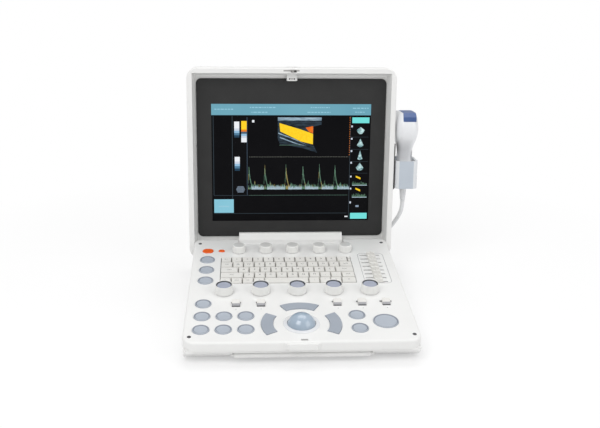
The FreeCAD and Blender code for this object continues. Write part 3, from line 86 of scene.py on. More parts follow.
def vary(tree_nodes, links, colour, other, scale, detail=4.0, stretch=None):
    """A noise-driven colour between two tones on object coordinates: its colour and noise outputs."""
    place = tree_nodes.new("ShaderNodeTexCoord")
    source = place.outputs["Object"]
    if stretch:
        mapping = tree_nodes.new("ShaderNodeMapping")
        mapping.inputs["Scale"].default_value = stretch
        links.new(source, mapping.inputs["Vector"])
        source = mapping.outputs["Vector"]
    noise = tree_nodes.new("ShaderNodeTexNoise")
    noise.inputs["Scale"].default_value = scale
    noise.inputs["Detail"].default_value = detail
    links.new(source, noise.inputs["Vector"])
    ramp = tree_nodes.new("ShaderNodeValToRGB")
    ramp.color_ramp.elements[0].position = 0.3
    ramp.color_ramp.elements[1].position = 0.7
    ramp.color_ramp.elements[0].color = (*colour, 1)
    ramp.color_ramp.elements[1].color = (*other, 1)
    links.new(noise.outputs["Fac"], ramp.inputs["Fac"])
    return ramp.outputs["Color"], noise.outputs["Fac"]


DRIFT_SCALE, GRAIN_DEPTH = 35, 0.0002


def moulded(name, colour, roughness=0.4, grain=900, strength=0.05, shift=0.02, coat=0.0,
            stretch=None, gloss=0.5):
    """Moulded plastic or rubber: a fine grain in the surface and a slight drift of tone."""
    material, tree, links = new_material(name)
    shader = tree["Principled BSDF"]
    other = tuple(max(0.0, channel - shift) for channel in colour)
    tone, _ = vary(tree, links, colour, other, DRIFT_SCALE, 3)
    links.new(tone, shader.inputs["Base Color"])
    shader.inputs["Roughness"].default_value = roughness
    shader.inputs["Coat Weight"].default_value = coat
    shader.inputs["Specular IOR Level"].default_value = gloss
    _, fine = vary(tree, links, colour, other, grain, 2, stretch)
    bump = tree.new("ShaderNodeBump")
    bump.inputs["Strength"].default_value = strength
    bump.inputs["Distance"].default_value = GRAIN_DEPTH
    links.new(fine, bump.inputs["Height"])
    links.new(bump.outputs["Normal"], shader.inputs["Normal"])
    return material


def metal(name, colour, roughness=0.35):
    material = moulded(name, colour, roughness, 1500, 0.04, 0.04, stretch=(1, 8, 1))
    material.node_tree.nodes["Principled BSDF"].inputs["Metallic"].default_value = 1
    return material


def lit(name, colour, strength=1.0, other=None, scale=60, stretch=None):
    """A glowing patch of the display; with a second colour it is mottled like an echo image."""
    material, tree, links = new_material(name)
    shader = tree["Principled BSDF"]
    shader.inputs["Base Color"].default_value = (0.005, 0.005, 0.006, 1)
    shader.inputs["Roughness"].default_value = 0.35
    shader.inputs["Specular IOR Level"].default_value = 0.05
    shader.inputs["Emission Strength"].default_value = strength
    if other is None:
        shader.inputs["Emission Color"].default_value = (*colour, 1)
    else:
        tone, _ = vary(tree, links, colour, other, scale, 8, stretch)
        links.new(tone, shader.inputs["Emission Color"])
    return material


white = moulded("shell_white", (0.80, 0.80, 0.79), 0.38, 1400, 0.10)
inner_white = moulded("rim_white", (0.80, 0.80, 0.79), 0.42, 1400, 0.10)
knob_white = moulded("knob_white", (0.82, 0.82, 0.80), 0.22, 1200, 0.03, coat=0.3)
cap_white = moulded("keycap_white", (0.76, 0.75, 0.72), 0.42, 1800, 0.08)
# Dark grey: painted shade in the keyboard's gaps, on the latch hook and along the latch slot; print on the
# latch tab's bar.
grey_ink_and_shade = moulded("grey_ink_and_painted_shade", (0.30, 0.29, 0.28), 0.6, 900, 0.08)
key_grey = moulded("key_grey", (0.42, 0.46, 0.52), 0.36, 1500, 0.06)
# The keys' rim tone is darker than their dish: painted shade on each dish's steep inner wall and rolled rim.
key_rim_painted_shade = moulded("key_rim_painted_shade", (0.24, 0.265, 0.31), 0.40, 1500, 0.06)
arc_grey = moulded("arc_key_grey", (0.34, 0.375, 0.43), 0.40, 1500, 0.10)
dish_grey = moulded("dial_dish", (0.40, 0.43, 0.52), 0.20, 1200, 0.03, coat=0.5)
knob_top = moulded("knob_top", (0.60, 0.60, 0.59), 0.35, 1200, 0.04)
# Grey on the toggles' lower front faces: painted shade.
toggle_shade_grey = moulded("toggle_painted_shade", (0.46, 0.46, 0.48), 0.42, 1500, 0.06)
# Near-black on the dials' inner dish walls: painted shade inside the recess.
dish_wall_painted_shade = moulded("dial_dish_wall", (0.05, 0.055, 0.065), 0.35, 1200, 0.05)
orange = moulded("orange_key", (0.85, 0.13, 0.02), 0.28, 1200, 0.04, coat=0.3)
ball_blue = moulded("ball_resin", (0.37, 0.45, 0.54), 0.16, 60, 0.0, 0.05, coat=0.7)
ring_white = moulded("ring_white", (0.74, 0.75, 0.77), 0.25, 1200, 0.03, coat=0.4)
bezel_grey = moulded("bezel_grey", (0.030, 0.030, 0.030), 0.55, 1500, 0.12, 0.005, gloss=0.25)
glass_black = moulded("display_face", (0.004, 0.004, 0.005), 0.22, 1500, 0.02, 0.001, gloss=0.05)
dark = moulded("dark_plastic", (0.03, 0.03, 0.033), 0.5, 900, 0.1, 0.01)
board_green = moulded("solder_resist", (0.02, 0.07, 0.04), 0.35, 700, 0.1, 0.01)
rubber_dark = moulded("rubber_dark", (0.07, 0.07, 0.075), 0.75, 1600, 0.2, 0.01)
cup_blue = moulded("cup_blue_grey", (0.50, 0.55, 0.61), 0.42, 1400, 0.06)
cup_edge = moulded("cup_edge", (0.72, 0.74, 0.76), 0.40, 1400, 0.06)
probe_white = moulded("probe_white", (0.80, 0.81, 0.83), 0.30, 1100, 0.04, coat=0.2)
lens_blue = moulded("lens_blue", (0.075, 0.125, 0.29), 0.35, 900, 0.05, 0.03)
cord_white = moulded("cord_jacket", (0.72, 0.73, 0.74), 0.45, 1800, 0.08)
steel = metal("pin_steel", (0.55, 0.56, 0.57))
# Dark ink for legends and marks; also painted shade in the toggles' slots.
dark_ink_and_shade = moulded("ink_and_painted_shade", (0.06, 0.06, 0.07), 0.6, 900, 0.02, 0.01)
legend_grey = moulded("panel_line", (0.36, 0.36, 0.37), 0.6, 900, 0.02, 0.01)

CAD_MATERIALS = {
    "upper_shell": white, "lower_shell": white, "lid_back": white, "lid_frame": inner_white,
    "latch_slider": white, "hinge_cover": white, "carry_handle": white, "trackball_cup": ring_white,
    "screen_bezel": bezel_grey, "display_module": glass_black, "trackball": ball_blue,
    "probe_housing": probe_white, "probe_lens": lens_blue, "probe_strain_relief": cord_white,
    "battery_pack": dark, "fan_rotor": dark, "control_board": board_green, "main_board": board_green,
    "rubber_pads": rubber_dark, "deck_plugs": rubber_dark, "case_screws": steel, "hinge_pins": steel,
    "power_key": orange, "standby_key": orange, "probe_plug": cup_edge,
}
NUMBERED = {"fader": cap_white, "arc_key": arc_grey}


def paint(node, *materials):
    """Give a CAD node its materials; the first one goes on every face."""
    mesh = nodes[node].data
    mesh.materials.clear()
    for material in materials:
        mesh.materials.append(material)
    for face in mesh.polygons:
        face.material_index = 0


def paint_faces(node, index, chosen, matrix):
    """Put material number index on the faces whose local centre and normal pass chosen()."""
    inverse = matrix.inverted()
    turn = inverse.to_3x3()
    for face in nodes[node].data.polygons:
        if chosen(inverse @ face.center / MM, turn @ face.normal):
            face.material_index = index


def paint_cad():
    for node, material in CAD_MATERIALS.items():
        paint(node, material)
    for node in nodes:
        for stem, material in NUMBERED.items():
            if node.startswith(stem + "_"):
                paint(node, material)


# ---------------------------------------------------------------- Mesh helpers
def add_piece(name, points, faces, materials, body, matrix, smooth=False, indices=None):
    """A mesh from local millimetres, placed by a working frame; it rides on a body if one is named."""
    mesh = bpy.data.meshes.new(name)
    mesh.from_pydata([matrix @ (Vector(point) * MM) for point in points], [], faces)
    for material in materials if isinstance(materials, (list, tuple)) else [materials]:
        mesh.materials.append(material)
    for number, face in enumerate(mesh.polygons):
        face.use_smooth = smooth
        face.material_index = indices[number] if indices else 0
    piece = bpy.data.objects.new(name, mesh)
    bpy.context.scene.collection.objects.link(piece)
    if body:
        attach(piece, body)
    return piece


class Sheet:
    """Collects flat shapes that lie on one working plane, to become a single piece."""

    def __init__(self):
        self.points, self.faces, self.materials, self.indices = [], [], [], []

    def add(self, outline, material):
        start = len(self.points)
        self.points += outline
        self.faces.append(tuple(range(start, start + len(outline))))
        if material not in self.materials:
            self.materials.append(material)
        self.indices.append(self.materials.index(material))

    def build(self, name, body, matrix):
        return add_piece(name, self.points, self.faces, self.materials, body, matrix, indices=self.indices)


def turned(profile, centre, sides=48):
    """Points and faces of a closed profile of (radius, height), turned about a local vertical axis."""
    points = []
    faces = []
    for step in range(sides):
        angle = 2 * math.pi * step / sides
        for radius, height in profile:
            points.append((centre[0] + radius * math.cos(angle),
                           centre[1] + radius * math.sin(angle), height))
    count = len(profile)
    for step in range(sides):
        following = (step + 1) % sides
        for low in range(count - 1):
            faces.append((step * count + low, following * count + low,
                          following * count + low + 1, step * count + low + 1))
    return points, faces


# ---------------------------------------------------------------- Keys with dished caps
# A turned form starts and ends this far from its axis.
AXIS = 0.01
KEY_COLUMN, KEY_COLUMN_PITCH, KEY_ROW_PITCH = -127.6, 28.4, 32.2
REAR_ROWS = [55.4 + KEY_ROW_PITCH * step for step in range(3)]
FRONT_ROWS = [184.8 + KEY_ROW_PITCH * step for step in range(3)]
PAIR_COLUMN, ENTER_PLACE = 74.5, (110.0, 233.4)
KEY_RADIUS, ENTER_RADIUS = 10.9, 16.5
DISH_MARGIN, DISH_DEPTH, DISH_CURVE, DISH_STEPS = 2.3, 1.15, 0.25, 6
FLANGE_REACH, FLANGE_THICKNESS, STEM_RADIUS, STEM_END = 1.2, 1.5, 2.5, -7.2
# The rings of faces, steep inner wall and rolled rim, that take the darker tone as painted shade.
KEY_SHADE_ROWS = (6, 7, 8)


def key_profile(radius, rise=1.4, skirt=2.8):
    """Half of a round key: dish, steep inner wall, rolled rim, side, flange and stem."""
    floor = radius - DISH_MARGIN
    profile = [(max(AXIS, floor * step / DISH_STEPS),
                rise - DISH_DEPTH + DISH_CURVE * (step / DISH_STEPS) ** 2) for step in range(DISH_STEPS + 1)]
    flange_foot = -skirt - FLANGE_THICKNESS
    profile += [(radius - 1.6, rise - 0.45), (radius - 1.1, rise - 0.08), (radius - 0.7, rise),
                (radius - 0.25, rise - 0.18), (radius, rise - 0.6), (radius, -skirt),
                (radius + FLANGE_REACH, -skirt), (radius + FLANGE_REACH, flange_foot),
                (STEM_RADIUS, flange_foot), (STEM_RADIUS, STEM_END), (AXIS, STEM_END)]
    return profile


def dress_keys():
    """Each group of round keys gets dished caps where its solids are, with painted shade on each cap's steep
    inner wall and rolled rim.
    """
    groups = {
        "keys_rear_left": [(KEY_COLUMN, row) for row in REAR_ROWS],
        "keys_front_left": [(KEY_COLUMN, row) for row in FRONT_ROWS],
        "keys_front_middle": [(KEY_COLUMN + KEY_COLUMN_PITCH * step, row)
                              for step in (1, 2) for row in FRONT_ROWS[1:]],
        "keys_front_right": [(PAIR_COLUMN, row) for row in FRONT_ROWS[1:]],
        "key_enter": [ENTER_PLACE],
    }
    for node, places in groups.items():
        profile = key_profile(ENTER_RADIUS if node == "key_enter" else KEY_RADIUS)
        rows = [1 if row in KEY_SHADE_ROWS else 0 for row in range(len(profile) - 1)]
        piece = turned_piece(node + "_caps", profile, [(x, -row) for x, row in places],
                             [key_grey, key_rim_painted_shade], rows, node, DECK)
        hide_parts(node)


def turned_piece(name, profile, centres, materials, rows, body, matrix):
    """One piece of equal turned forms; rows gives the material of each ring of faces."""
    points, faces, indices = [], [], []
    for centre in centres:
        more, sides = turned(profile, centre)
        faces += [tuple(index + len(points) for index in face) for face in sides]
        points += more
        indices += rows * (len(sides) // len(rows))
    piece = add_piece(name, points, faces, materials, body, matrix, smooth=True, indices=indices)
    edge_split = piece.modifiers.new("edges", "EDGE_SPLIT")
    edge_split.split_angle = math.radians(40)
    return piece


# ---------------------------------------------------------------- Dials, knobs and keyboard
SHAFT_RADIUS, SHAFT_END, KNOB_FOOT = 3.0, -8.5, 0.5
SHAFT_PROFILE = [(SHAFT_RADIUS, KNOB_FOOT), (SHAFT_RADIUS, SHAFT_END), (AXIS, SHAFT_END)]
DIAL_PROFILE = [(AXIS, 11.0), (5.0, 10.85), (9.3, 10.5), (10.2, 10.9), (10.8, 11.9), (11.1, 12.3),
                (11.45, 12.4), (11.8, 12.2), (12.0, 11.6), (12.3, 6.0), (12.9, 2.4), (13.0, 1.2),
                (12.8, KNOB_FOOT)] + SHAFT_PROFILE
# Rings 2 and 3, the dish's inner wall, take the near-black painted shade.
DIAL_ROWS = [1, 1, 2, 2] + [0] * 11
POT_PROFILE = [(AXIS, 10.9), (7.6, 10.9), (8.6, 10.75), (9.1, 10.3), (9.3, 9.6), (9.9, 3.0), (10.1, 1.4),
               (9.9, KNOB_FOOT)] + SHAFT_PROFILE
POT_ROWS = [1] + [0] * 9
KNOBS = (("dial", DIAL_PROFILE, DIAL_ROWS, (knob_white, dish_grey, dish_wall_painted_shade)),
         ("pot_knob", POT_PROFILE, POT_ROWS, (knob_white, knob_top)))
PLACES_IN_A_ROW = range(1, 6)


def dress_dials():
    """The dials and the small rear knobs, each a smooth turned form on its own joint."""
    deck_turn = DECK.to_3x3().to_4x4()
    for number in PLACES_IN_A_ROW:
        for stem, profile, rows, materials in KNOBS:
            node = f"{stem}_{number}"
            place = Matrix.Translation(Vector(joints[f"{node}_turn"]["pos_m"])) @ deck_turn
            piece = turned_piece(node + "_cap", profile, [(0, 0)], materials, rows, node, place)
            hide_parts(node)


# Faces below this height that face the front take the toggles' painted shade.
TOGGLE_SHADE_SLOPE, TOGGLE_SHADE_TOP = -0.3, 2.5


def dress_toggles():
    """The toggles' lower front faces are grey: painted shade."""
    for number in PLACES_IN_A_ROW:
        node = f"toggle_{number}"
        paint(node, cap_white, toggle_shade_grey)
        paint_faces(node, 1, lambda spot, normal: normal.y < TOGGLE_SHADE_SLOPE and spot.z < TOGGLE_SHADE_TOP, DECK)


KEYBOARD_LEFT, KEYBOARD_RIGHT, KEYBOARD_START = -107.6, 86.4, 47.8
KEY_PITCH, ROW_PITCH = 15.7, 16.3
ROW_JOINTS = (-92.0, -89.9, -81.6, -74.2, -91.5)
ROW_STEPS = (range(12), range(11), range(10), range(10), (0, 1, 2, 3, 7, 8, 9, 10))
LEGENDS = (
    "Esc 1 2 3 4 5 6 7 8 9 0 - Del".split(),
    "Tab Q W E R T Y U I O P Back".split(),
    "Caps A S D F G H J K L Enter".split(),
    "Shift Z X C V B N M , . Shift".split(),
    ["Fn", "Ctrl", "Alt", "/", "", ";", "'", "<", ">"],
)
LETTER_SIZE, WORD_SIZE, LEGEND_LEVEL, LEGEND_SHIFT = 5.2, 3.4, 1.04, 0.6
WELL_DEPTH = 2.3


def dress_keyboard():
    """The keys are pale, the gaps between them dark grey as painted shade, and each key has a generic legend.
    """
    paint("keyboard", cap_white, grey_ink_and_shade)
    # Faces below the key tops, in the gaps between keys, take the dark grey as painted shade.
    paint_faces("keyboard", 1, lambda spot, normal: spot.z < -WELL_DEPTH, DECK)
    letters = bmesh.new()
    for row, (first, steps, words) in enumerate(zip(ROW_JOINTS, ROW_STEPS, LEGENDS)):
        edges = [KEYBOARD_LEFT] + [first + KEY_PITCH * step for step in steps] + [KEYBOARD_RIGHT]
        middle_row = -(KEYBOARD_START + ROW_PITCH * (row + 0.5))
        for left, right, word in zip(edges, edges[1:], words):
            if word:
                size = LETTER_SIZE if len(word) == 1 else WORD_SIZE
                middle = ((left + right) / 2, middle_row + LEGEND_SHIFT, LEGEND_LEVEL)
                add_word(letters, word, middle, size)
    mesh = bpy.data.meshes.new("keyboard_legends")
    letters.to_mesh(mesh)
    letters.free()
    mesh.transform(DECK @ Matrix.Scale(MM, 4))
    mesh.materials.append(dark_ink_and_shade)
    piece = bpy.data.objects.new("keyboard_legends", mesh)
    bpy.context.scene.collection.objects.link(piece)
    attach(piece, "keyboard")


def add_word(target, word, place, size):
    """Append a word's flat outline to a bmesh, centred on a place in local millimetres."""
    text = bpy.data.curves.new("word", "FONT")
    text.body = word
    text.size = size
    text.align_x = "CENTER"
    text.align_y = "CENTER"
    text.resolution_u = 2
    holder = bpy.data.objects.new("word", text)
    mesh = bpy.data.meshes.new_from_object(holder)
    mesh.transform(Matrix.Translation(Vector(place)))
    target.from_mesh(mesh)
    bpy.data.objects.remove(holder)
    bpy.data.meshes.remove(mesh)
    bpy.data.curves.remove(text)


def ring_outline(left, right, low, high, radius, steps=6):
    """A rounded rectangle's corners and arcs, anticlockwise."""
    outline = []
    for quarter, (x, y) in enumerate(((right - radius, high - radius), (left + radius, high - radius),
                                      (left + radius, low + radius), (right - radius, low + radius))):
        for step in range(steps + 1):
            angle = math.pi / 2 * (quarter + step / steps)
            outline.append((x + radius * math.cos(angle), y + radius * math.sin(angle)))
    return outline


def add_ring(sheet, box, radius, width, height, material):
    """A thin line around a rounded rectangle."""
    left, right, low, high = box
    outer = ring_outline(left, right, low, high, radius)
    inner = ring_outline(left + width, right - width, low + width, high - width, radius - width)
    for step in range(len(outer)):
        following = (step + 1) % len(outer)
        sheet.add([(*outer[step], height), (*outer[following], height),
                   (*inner[following], height), (*inner[step], height)], material)


FADER_PANEL, PANEL_CORNER, PANEL_LINE = (97.5, 136.5, -131.5, -37.0), 7, 0.7
PRINT_LEVEL, SLOT_LEVEL = 0.03, 0.035
MARK_HALF, MARK_RISE, REAR_MARK, FRONT_MARK = 1.0, 2.0, -173.6, -198.4
TOGGLE_HALF, SLOT_FRONT, SLOT_REAR = 5.6, -183.6, -180.4
# Each toggle's place, and how far the painted shade of its slot shows at its left and its right.
TOGGLE_PLACES_AND_SLOT_SHADE = ((-83.9, 0.9, 0.9), (-50.6, 1.0, 0.7), (51.8, 1.4, 0), (85.2, 1.6, 0), (118.0, 2.6, 2.4))


def dress_deck():
    """Printed lines around the sliders, small marks beside the toggles, and dark painted shade in the
    toggles' slots.
    """
    sheet = Sheet()
    add_ring(sheet, FADER_PANEL, PANEL_CORNER, PANEL_LINE, PRINT_LEVEL, legend_grey)
    for x, _, _ in TOGGLE_PLACES_AND_SLOT_SHADE:
        sheet.add([(x - MARK_HALF, REAR_MARK, PRINT_LEVEL), (x + MARK_HALF, REAR_MARK, PRINT_LEVEL),
                   (x, REAR_MARK + MARK_RISE, PRINT_LEVEL)], legend_grey)
        sheet.add([(x - MARK_HALF, FRONT_MARK, PRINT_LEVEL), (x, FRONT_MARK - MARK_RISE, PRINT_LEVEL),
                   (x + MARK_HALF, FRONT_MARK, PRINT_LEVEL)], legend_grey)
    # Dark patches beside each toggle's paddle: painted shade in its slot.
    for x, left, right in TOGGLE_PLACES_AND_SLOT_SHADE:
        for side, width in ((-1, left), (1, right)):
            if width:
                edge = x + side * TOGGLE_HALF
                near, far = sorted((edge, edge + side * width))
                sheet.add([(near, SLOT_FRONT, SLOT_LEVEL), (far, SLOT_FRONT, SLOT_LEVEL),
                           (far, SLOT_REAR, SLOT_LEVEL), (near, SLOT_REAR, SLOT_LEVEL)], dark_ink_and_shade)
    sheet.build("deck_print_and_slot_shade", "base", DECK)


# ---------------------------------------------------------------- Latch
TAB_HALF, TAB_LOW, TAB_TOP, TAB_FRONT, TAB_BACK, TAB_CORNER = 8.0, 257.4, 261.0, 20.0, 24.0, 1.4
MARK_FACE, DOT_SPREAD, DOT_LEVEL, DOT_RADIUS, DOT_SIDES = TAB_FRONT - 0.05, 3.6, 260.5, 1.2, 16
BAR_HALF, BAR_LOW, BAR_TOP = 2.0, 259.8, 261.2
# The slot spans are dark grey strips either side of the hook: painted shade of the slot opening along the
# rim.
RIM_FACE, SLOT_LOW, SLOT_TOP, SLOT_SHADE_SPANS = 8.45, 272.6, 274.4, ((-13.5, -2.7), (6.7, 10.5))
HOOK_ROOT = 14


def add_upright(sheet, left, right, depth, low, high, material):
    """A rectangle that faces the front of the lid."""
    sheet.add([(left, depth, low), (right, depth, low), (right, depth, high), (left, depth, high)], material)


def dress_latch():
    """The finger tab under the latch's foot, its two marks, and the slot line along the lid's rim; the slot
    line and the grey on the hook are painted shade.
    """
    paint("latch_slider", white, grey_ink_and_shade)
    # The hook's front faces take the dark grey: painted shade, so it reads as part of the dark slot.
    paint_faces("latch_slider", 1, lambda spot, normal: spot.y < HOOK_ROOT, LID)
    outline = ring_outline(-TAB_HALF, TAB_HALF, TAB_LOW, TAB_TOP, TAB_CORNER, 3)
    count = len(outline)
    points = [(x, depth, z) for depth in (TAB_FRONT, TAB_BACK) for x, z in outline]
    faces = [tuple(range(count)), tuple(range(count, 2 * count))[::-1]]
    faces += [(step, count + step, count + (step + 1) % count, (step + 1) % count) for step in range(count)]
    add_piece("latch_tab", points, faces, white, "latch_slider", LID)
    marks = Sheet()
    for centre in (-DOT_SPREAD, DOT_SPREAD):
        angles = [2 * math.pi * step / DOT_SIDES for step in range(DOT_SIDES)]
        marks.add([(centre + DOT_RADIUS * math.cos(angle), MARK_FACE,
                    DOT_LEVEL + DOT_RADIUS * math.sin(angle)) for angle in angles], dark_ink_and_shade)
    add_upright(marks, -BAR_HALF, BAR_HALF, MARK_FACE, BAR_LOW, BAR_TOP, grey_ink_and_shade)
    marks.build("latch_marks", "latch_slider", LID)
    # Strips along the rim beside the hook: painted shade of the slot opening.
    slot = Sheet()
    for left, right in SLOT_SHADE_SPANS:
        add_upright(slot, left, right, RIM_FACE, SLOT_LOW, SLOT_TOP, grey_ink_and_shade)
    slot.build("latch_slot_shade_line", "lid", LID)


# ---------------------------------------------------------------- The picture on the display
def screen_colours():
    return {
        "header": lit("screen_header", (0.14, 0.36, 0.46), 1.0, (0.17, 0.41, 0.51), 12),
        "text": lit("screen_text", (0.30, 0.58, 0.70)),
        "line": lit("screen_line", (0.040, 0.060, 0.075)),
        "button": lit("screen_button", (0.22, 0.53, 0.66), 1.0, (0.26, 0.58, 0.70), 20),
        "cyan": lit("screen_cyan", (0.17, 0.74, 0.71)),
        "white": lit("screen_white", (0.85, 0.88, 0.92)),
        "grey_1": lit("screen_grey_1", (0.62, 0.68, 0.78)),
        "grey_2": lit("screen_grey_2", (0.28, 0.36, 0.46)),
        "grey_3": lit("screen_grey_3", (0.07, 0.11, 0.16)),
        "yellow": lit("screen_yellow", (1.0, 0.72, 0.02), 1.0, (1.0, 0.58, 0.01), 400),
        "orange": lit("screen_orange", (0.85, 0.22, 0.01)),
        "red": lit("screen_red", (0.75, 0.08, 0.01), 1.0, (0.85, 0.22, 0.01), 500),
        "sky": lit("screen_sky", (0.30, 0.52, 0.72)),
        "blue_2": lit("screen_blue_2", (0.08, 0.20, 0.32)),
        "blue_3": lit("screen_blue_3", (0.015, 0.05, 0.09)),
        "void": lit("screen_void", (0.001, 0.001, 0.002)),
        "tissue": lit("screen_tissue", (0.002, 0.003, 0.004), 1.0, (0.035, 0.060, 0.085), 260,
                      (0.35, 1, 1.6)),
        "bright": lit("screen_bright", (0.10, 0.17, 0.24), 1.0, (0.42, 0.56, 0.66), 300, (0.3, 1, 1.8)),
        "echo": lit("screen_echo", (0.05, 0.16, 0.19), 1.0, (0.62, 0.86, 0.86), 260),
        "dot": lit("screen_dot", (0.22, 0.23, 0.20)),
        "trace": lit("screen_trace", (0.10, 0.20, 0.135)),
        "peak": lit("screen_peak", (0.30, 0.25, 0.09)),
        "noise": lit("screen_noise", (0.22, 0.33, 0.40), 1.0, (0.50, 0.62, 0.68), 900),
    }


PICTURE_GAP, LAYER_STEP = 0.05, 0.03


def screen_point(across, down, layer=0):
    """A point of the display, from shares of its width and height, as local millimetres of the lid."""
    return ((across - 0.5) * LCD_WIDTH, LCD_FACE - PICTURE_GAP - LAYER_STEP * layer,
            LCD_BOTTOM + (1 - down) * LCD_HEIGHT)


def add_patch(sheet, left, right, top, bottom, material, layer=1):
    sheet.add([screen_point(left, bottom, layer), screen_point(right, bottom, layer),
               screen_point(right, top, layer), screen_point(left, top, layer)], material)


def add_shape(sheet, corners, material, layer=2):
    sheet.add([screen_point(across, down, layer) for across, down in corners], material)


def add_scale_bar(sheet, left, right, top, bottom, colours):
    """A vertical bar whose tone changes in equal steps."""
    step = (bottom - top) / len(colours)
    for number, colour in enumerate(colours):
        add_patch(sheet, left, right, top + step * number, top + step * (number + 1), colour, 2)


def add_fan(sheet, across, down, radius, spread, material, layer=3):
    """A sector such as a small echo image has, standing on its point."""
    corners = [(across, down - radius * 0.9)]
    for step in range(9):
        angle = math.radians(-spread + 2 * spread * step / 8)
        corners.append((across + radius * 0.75 * math.sin(angle),
                        down - radius * 0.9 + 1.7 * radius * math.cos(angle)))
    add_shape(sheet, corners, material, layer)


# Lines of header text: left end, right end and level, as shares of the display.
HEADER_LINES = ((0.02, 0.14, 0.045), (0.24, 0.40, 0.030), (0.25, 0.35, 0.070), (0.62, 0.74, 0.030),
                (0.60, 0.745, 0.070), (0.885, 0.985, 0.035), (0.90, 0.96, 0.068))
TEXT_HALF = 0.004


def dress_screen():
    """The display's picture, made of flat glowing shapes just in front of it."""
    colours = screen_colours()
    sheet = Sheet()
    chance = random.Random(11)
    add_patch(sheet, 0, 1, 0, 0.094, colours["header"])
    for left, right, down in HEADER_LINES:
        across = left
        while across < right:
            length = chance.uniform(0.006, 0.022)
            add_patch(sheet, across, min(right, across + length), down - TEXT_HALF, down + TEXT_HALF,
                      colours["text"], 2)
            across += length + 0.005
    add_patch(sheet, 0.128, 0.131, 0.10, 0.925, colours["line"])
    add_patch(sheet, 0.010, 0.013, 0.10, 0.775, colours["line"])
    for down in (0.777, 0.935):
        add_patch(sheet, 0.010, 0.860, down, down + 0.003, colours["line"])
    add_patch(sheet, 0.012, 0.136, 0.812, 0.930, colours["button"], 2)
    add_patch(sheet, 0.040, 0.108, 0.868, 0.880, colours["text"], 3)

    add_scale_bar(sheet, 0.142, 0.174, 0.148, 0.282,
                  [colours[tone] for tone in ("white", "white", "white", "grey_1", "sky", "blue_2",
                                              "blue_3")])
    add_scale_bar(sheet, 0.186, 0.220, 0.143, 0.322,
                  [colours[tone] for tone in ("yellow", "yellow", "yellow", "yellow", "orange", "grey_3",
                                              "sky", "grey_1", "white", "white")])
    add_scale_bar(sheet, 0.144, 0.176, 0.446, 0.565,
                  [colours[tone] for tone in ("white", "white", "grey_1", "sky", "blue_2", "blue_3")])
    add_patch(sheet, 0.254, 0.268, 0.135, 0.155, colours["white"], 2)
    for number in range(7):
        width = 0.028 - 0.003 * abs(number - 3)
        add_patch(sheet, 0.180 - width, 0.180 + width, 0.70 + number * 0.008, 0.7035 + number * 0.008,
                  colours["grey_2"], 2)

    dress_flow_image(sheet, colours)
    dress_spectrum(sheet, colours, chance)
    dress_side_column(sheet, colours, chance)
    piece = sheet.build("screen_picture", "lid", LID)


def dress_flow_image(sheet, colours):
    """A vessel crossing a block of tissue, inside a thin frame."""
    left, right, top = 0.415, 0.690, 0.112
    add_patch(sheet, left, right, top, 0.138, colours["bright"], 2)
    add_shape(sheet, [(left, 0.138), (right, 0.138), (right, 0.172), (0.640, 0.190), (0.637, 0.345),
                      (0.430, 0.345), (left, 0.290)][::-1], colours["tissue"], 2)
    add_shape(sheet, [(0.470, 0.345), (0.640, 0.345), (0.665, 0.412), (0.580, 0.375)][::-1],
              colours["tissue"], 2)
    add_shape(sheet, [(0.425, 0.160), (0.560, 0.214), (0.637, 0.250), (0.637, 0.340), (0.560, 0.315),
                      (0.430, 0.230)][::-1], colours["yellow"], 3)
    add_shape(sheet, [(0.590, 0.198), (0.637, 0.186), (0.637, 0.245), (0.612, 0.235)][::-1],
              colours["red"], 4)
    for shift, drop in ((0.0, 0.0), (0.010, 0.036)):
        add_shape(sheet, [(0.418 + shift, 0.240 + drop), (0.520 + shift, 0.292 + drop),
                          (0.600, 0.345 + drop / 3), (0.520 + shift, 0.300 + drop),
                          (0.418 + shift, 0.250 + drop)][::-1], colours["bright"], 3)
    add_patch(sheet, 0.425, 0.560, 0.345, 0.348, colours["trace"], 4)
    for step in range(17):
        down = top + 0.0195 * step
        add_patch(sheet, 0.868, 0.871, down, down + 0.008, colours["orange"], 2)
    for step in range(62):
        across = 0.236 + 0.0102 * step
        add_patch(sheet, across, across + 0.005, 0.445, 0.4485, colours["dot"], 2)
        add_patch(sheet, across, across + 0.005, 0.776, 0.7795, colours["trace"], 2)
    add_patch(sheet, 0.221, 0.2235, 0.11, 0.775, colours["grey_3"], 2)


def dress_spectrum(sheet, colours, chance):
    """A sweep of velocities: sharp beats that die away over a noisy floor."""
    beats = (0.233, 0.333, 0.467, 0.575, 0.680, 0.779)
    warm_beat = beats[2]
    base, left, reach, columns = 0.725, 0.228, 0.645, 330
    peak, fade, onset = 0.235, 0.011, 0.012
    width = reach / columns
    for column in range(columns):
        across = left + width * column
        height = 0.018 + 0.028 * chance.random()
        for beat in beats:
            lag = across - beat
            if 0 <= lag < 0.10:
                height = max(height, peak * math.exp(-lag / fade) * (0.86 + 0.14 * chance.random()))
                second = 0.075 * math.exp(-((lag - 0.035) / 0.008) ** 2)
                height = max(height, second * (0.6 + 0.4 * chance.random()))
            elif -onset < lag < 0:
                height = max(height, peak * (1 + lag / onset) ** 2)
        tone = "peak" if 0 <= across - warm_beat < 0.03 or chance.random() < 0.08 else "trace"
        add_patch(sheet, across, across + width, base - height, base, colours[tone], 2)
        solid = min(height, 0.010 + 0.024 * chance.random())
        if all(not -0.006 < across - beat < 0.016 for beat in beats):
            add_patch(sheet, across, across + width, base - solid, base + 0.004 * chance.random(),
                      colours["noise"], 3)
        if height > 0.06:
            gap = height * 0.62
            add_patch(sheet, across, across + width, base - gap, base - solid, colours["void"], 3)


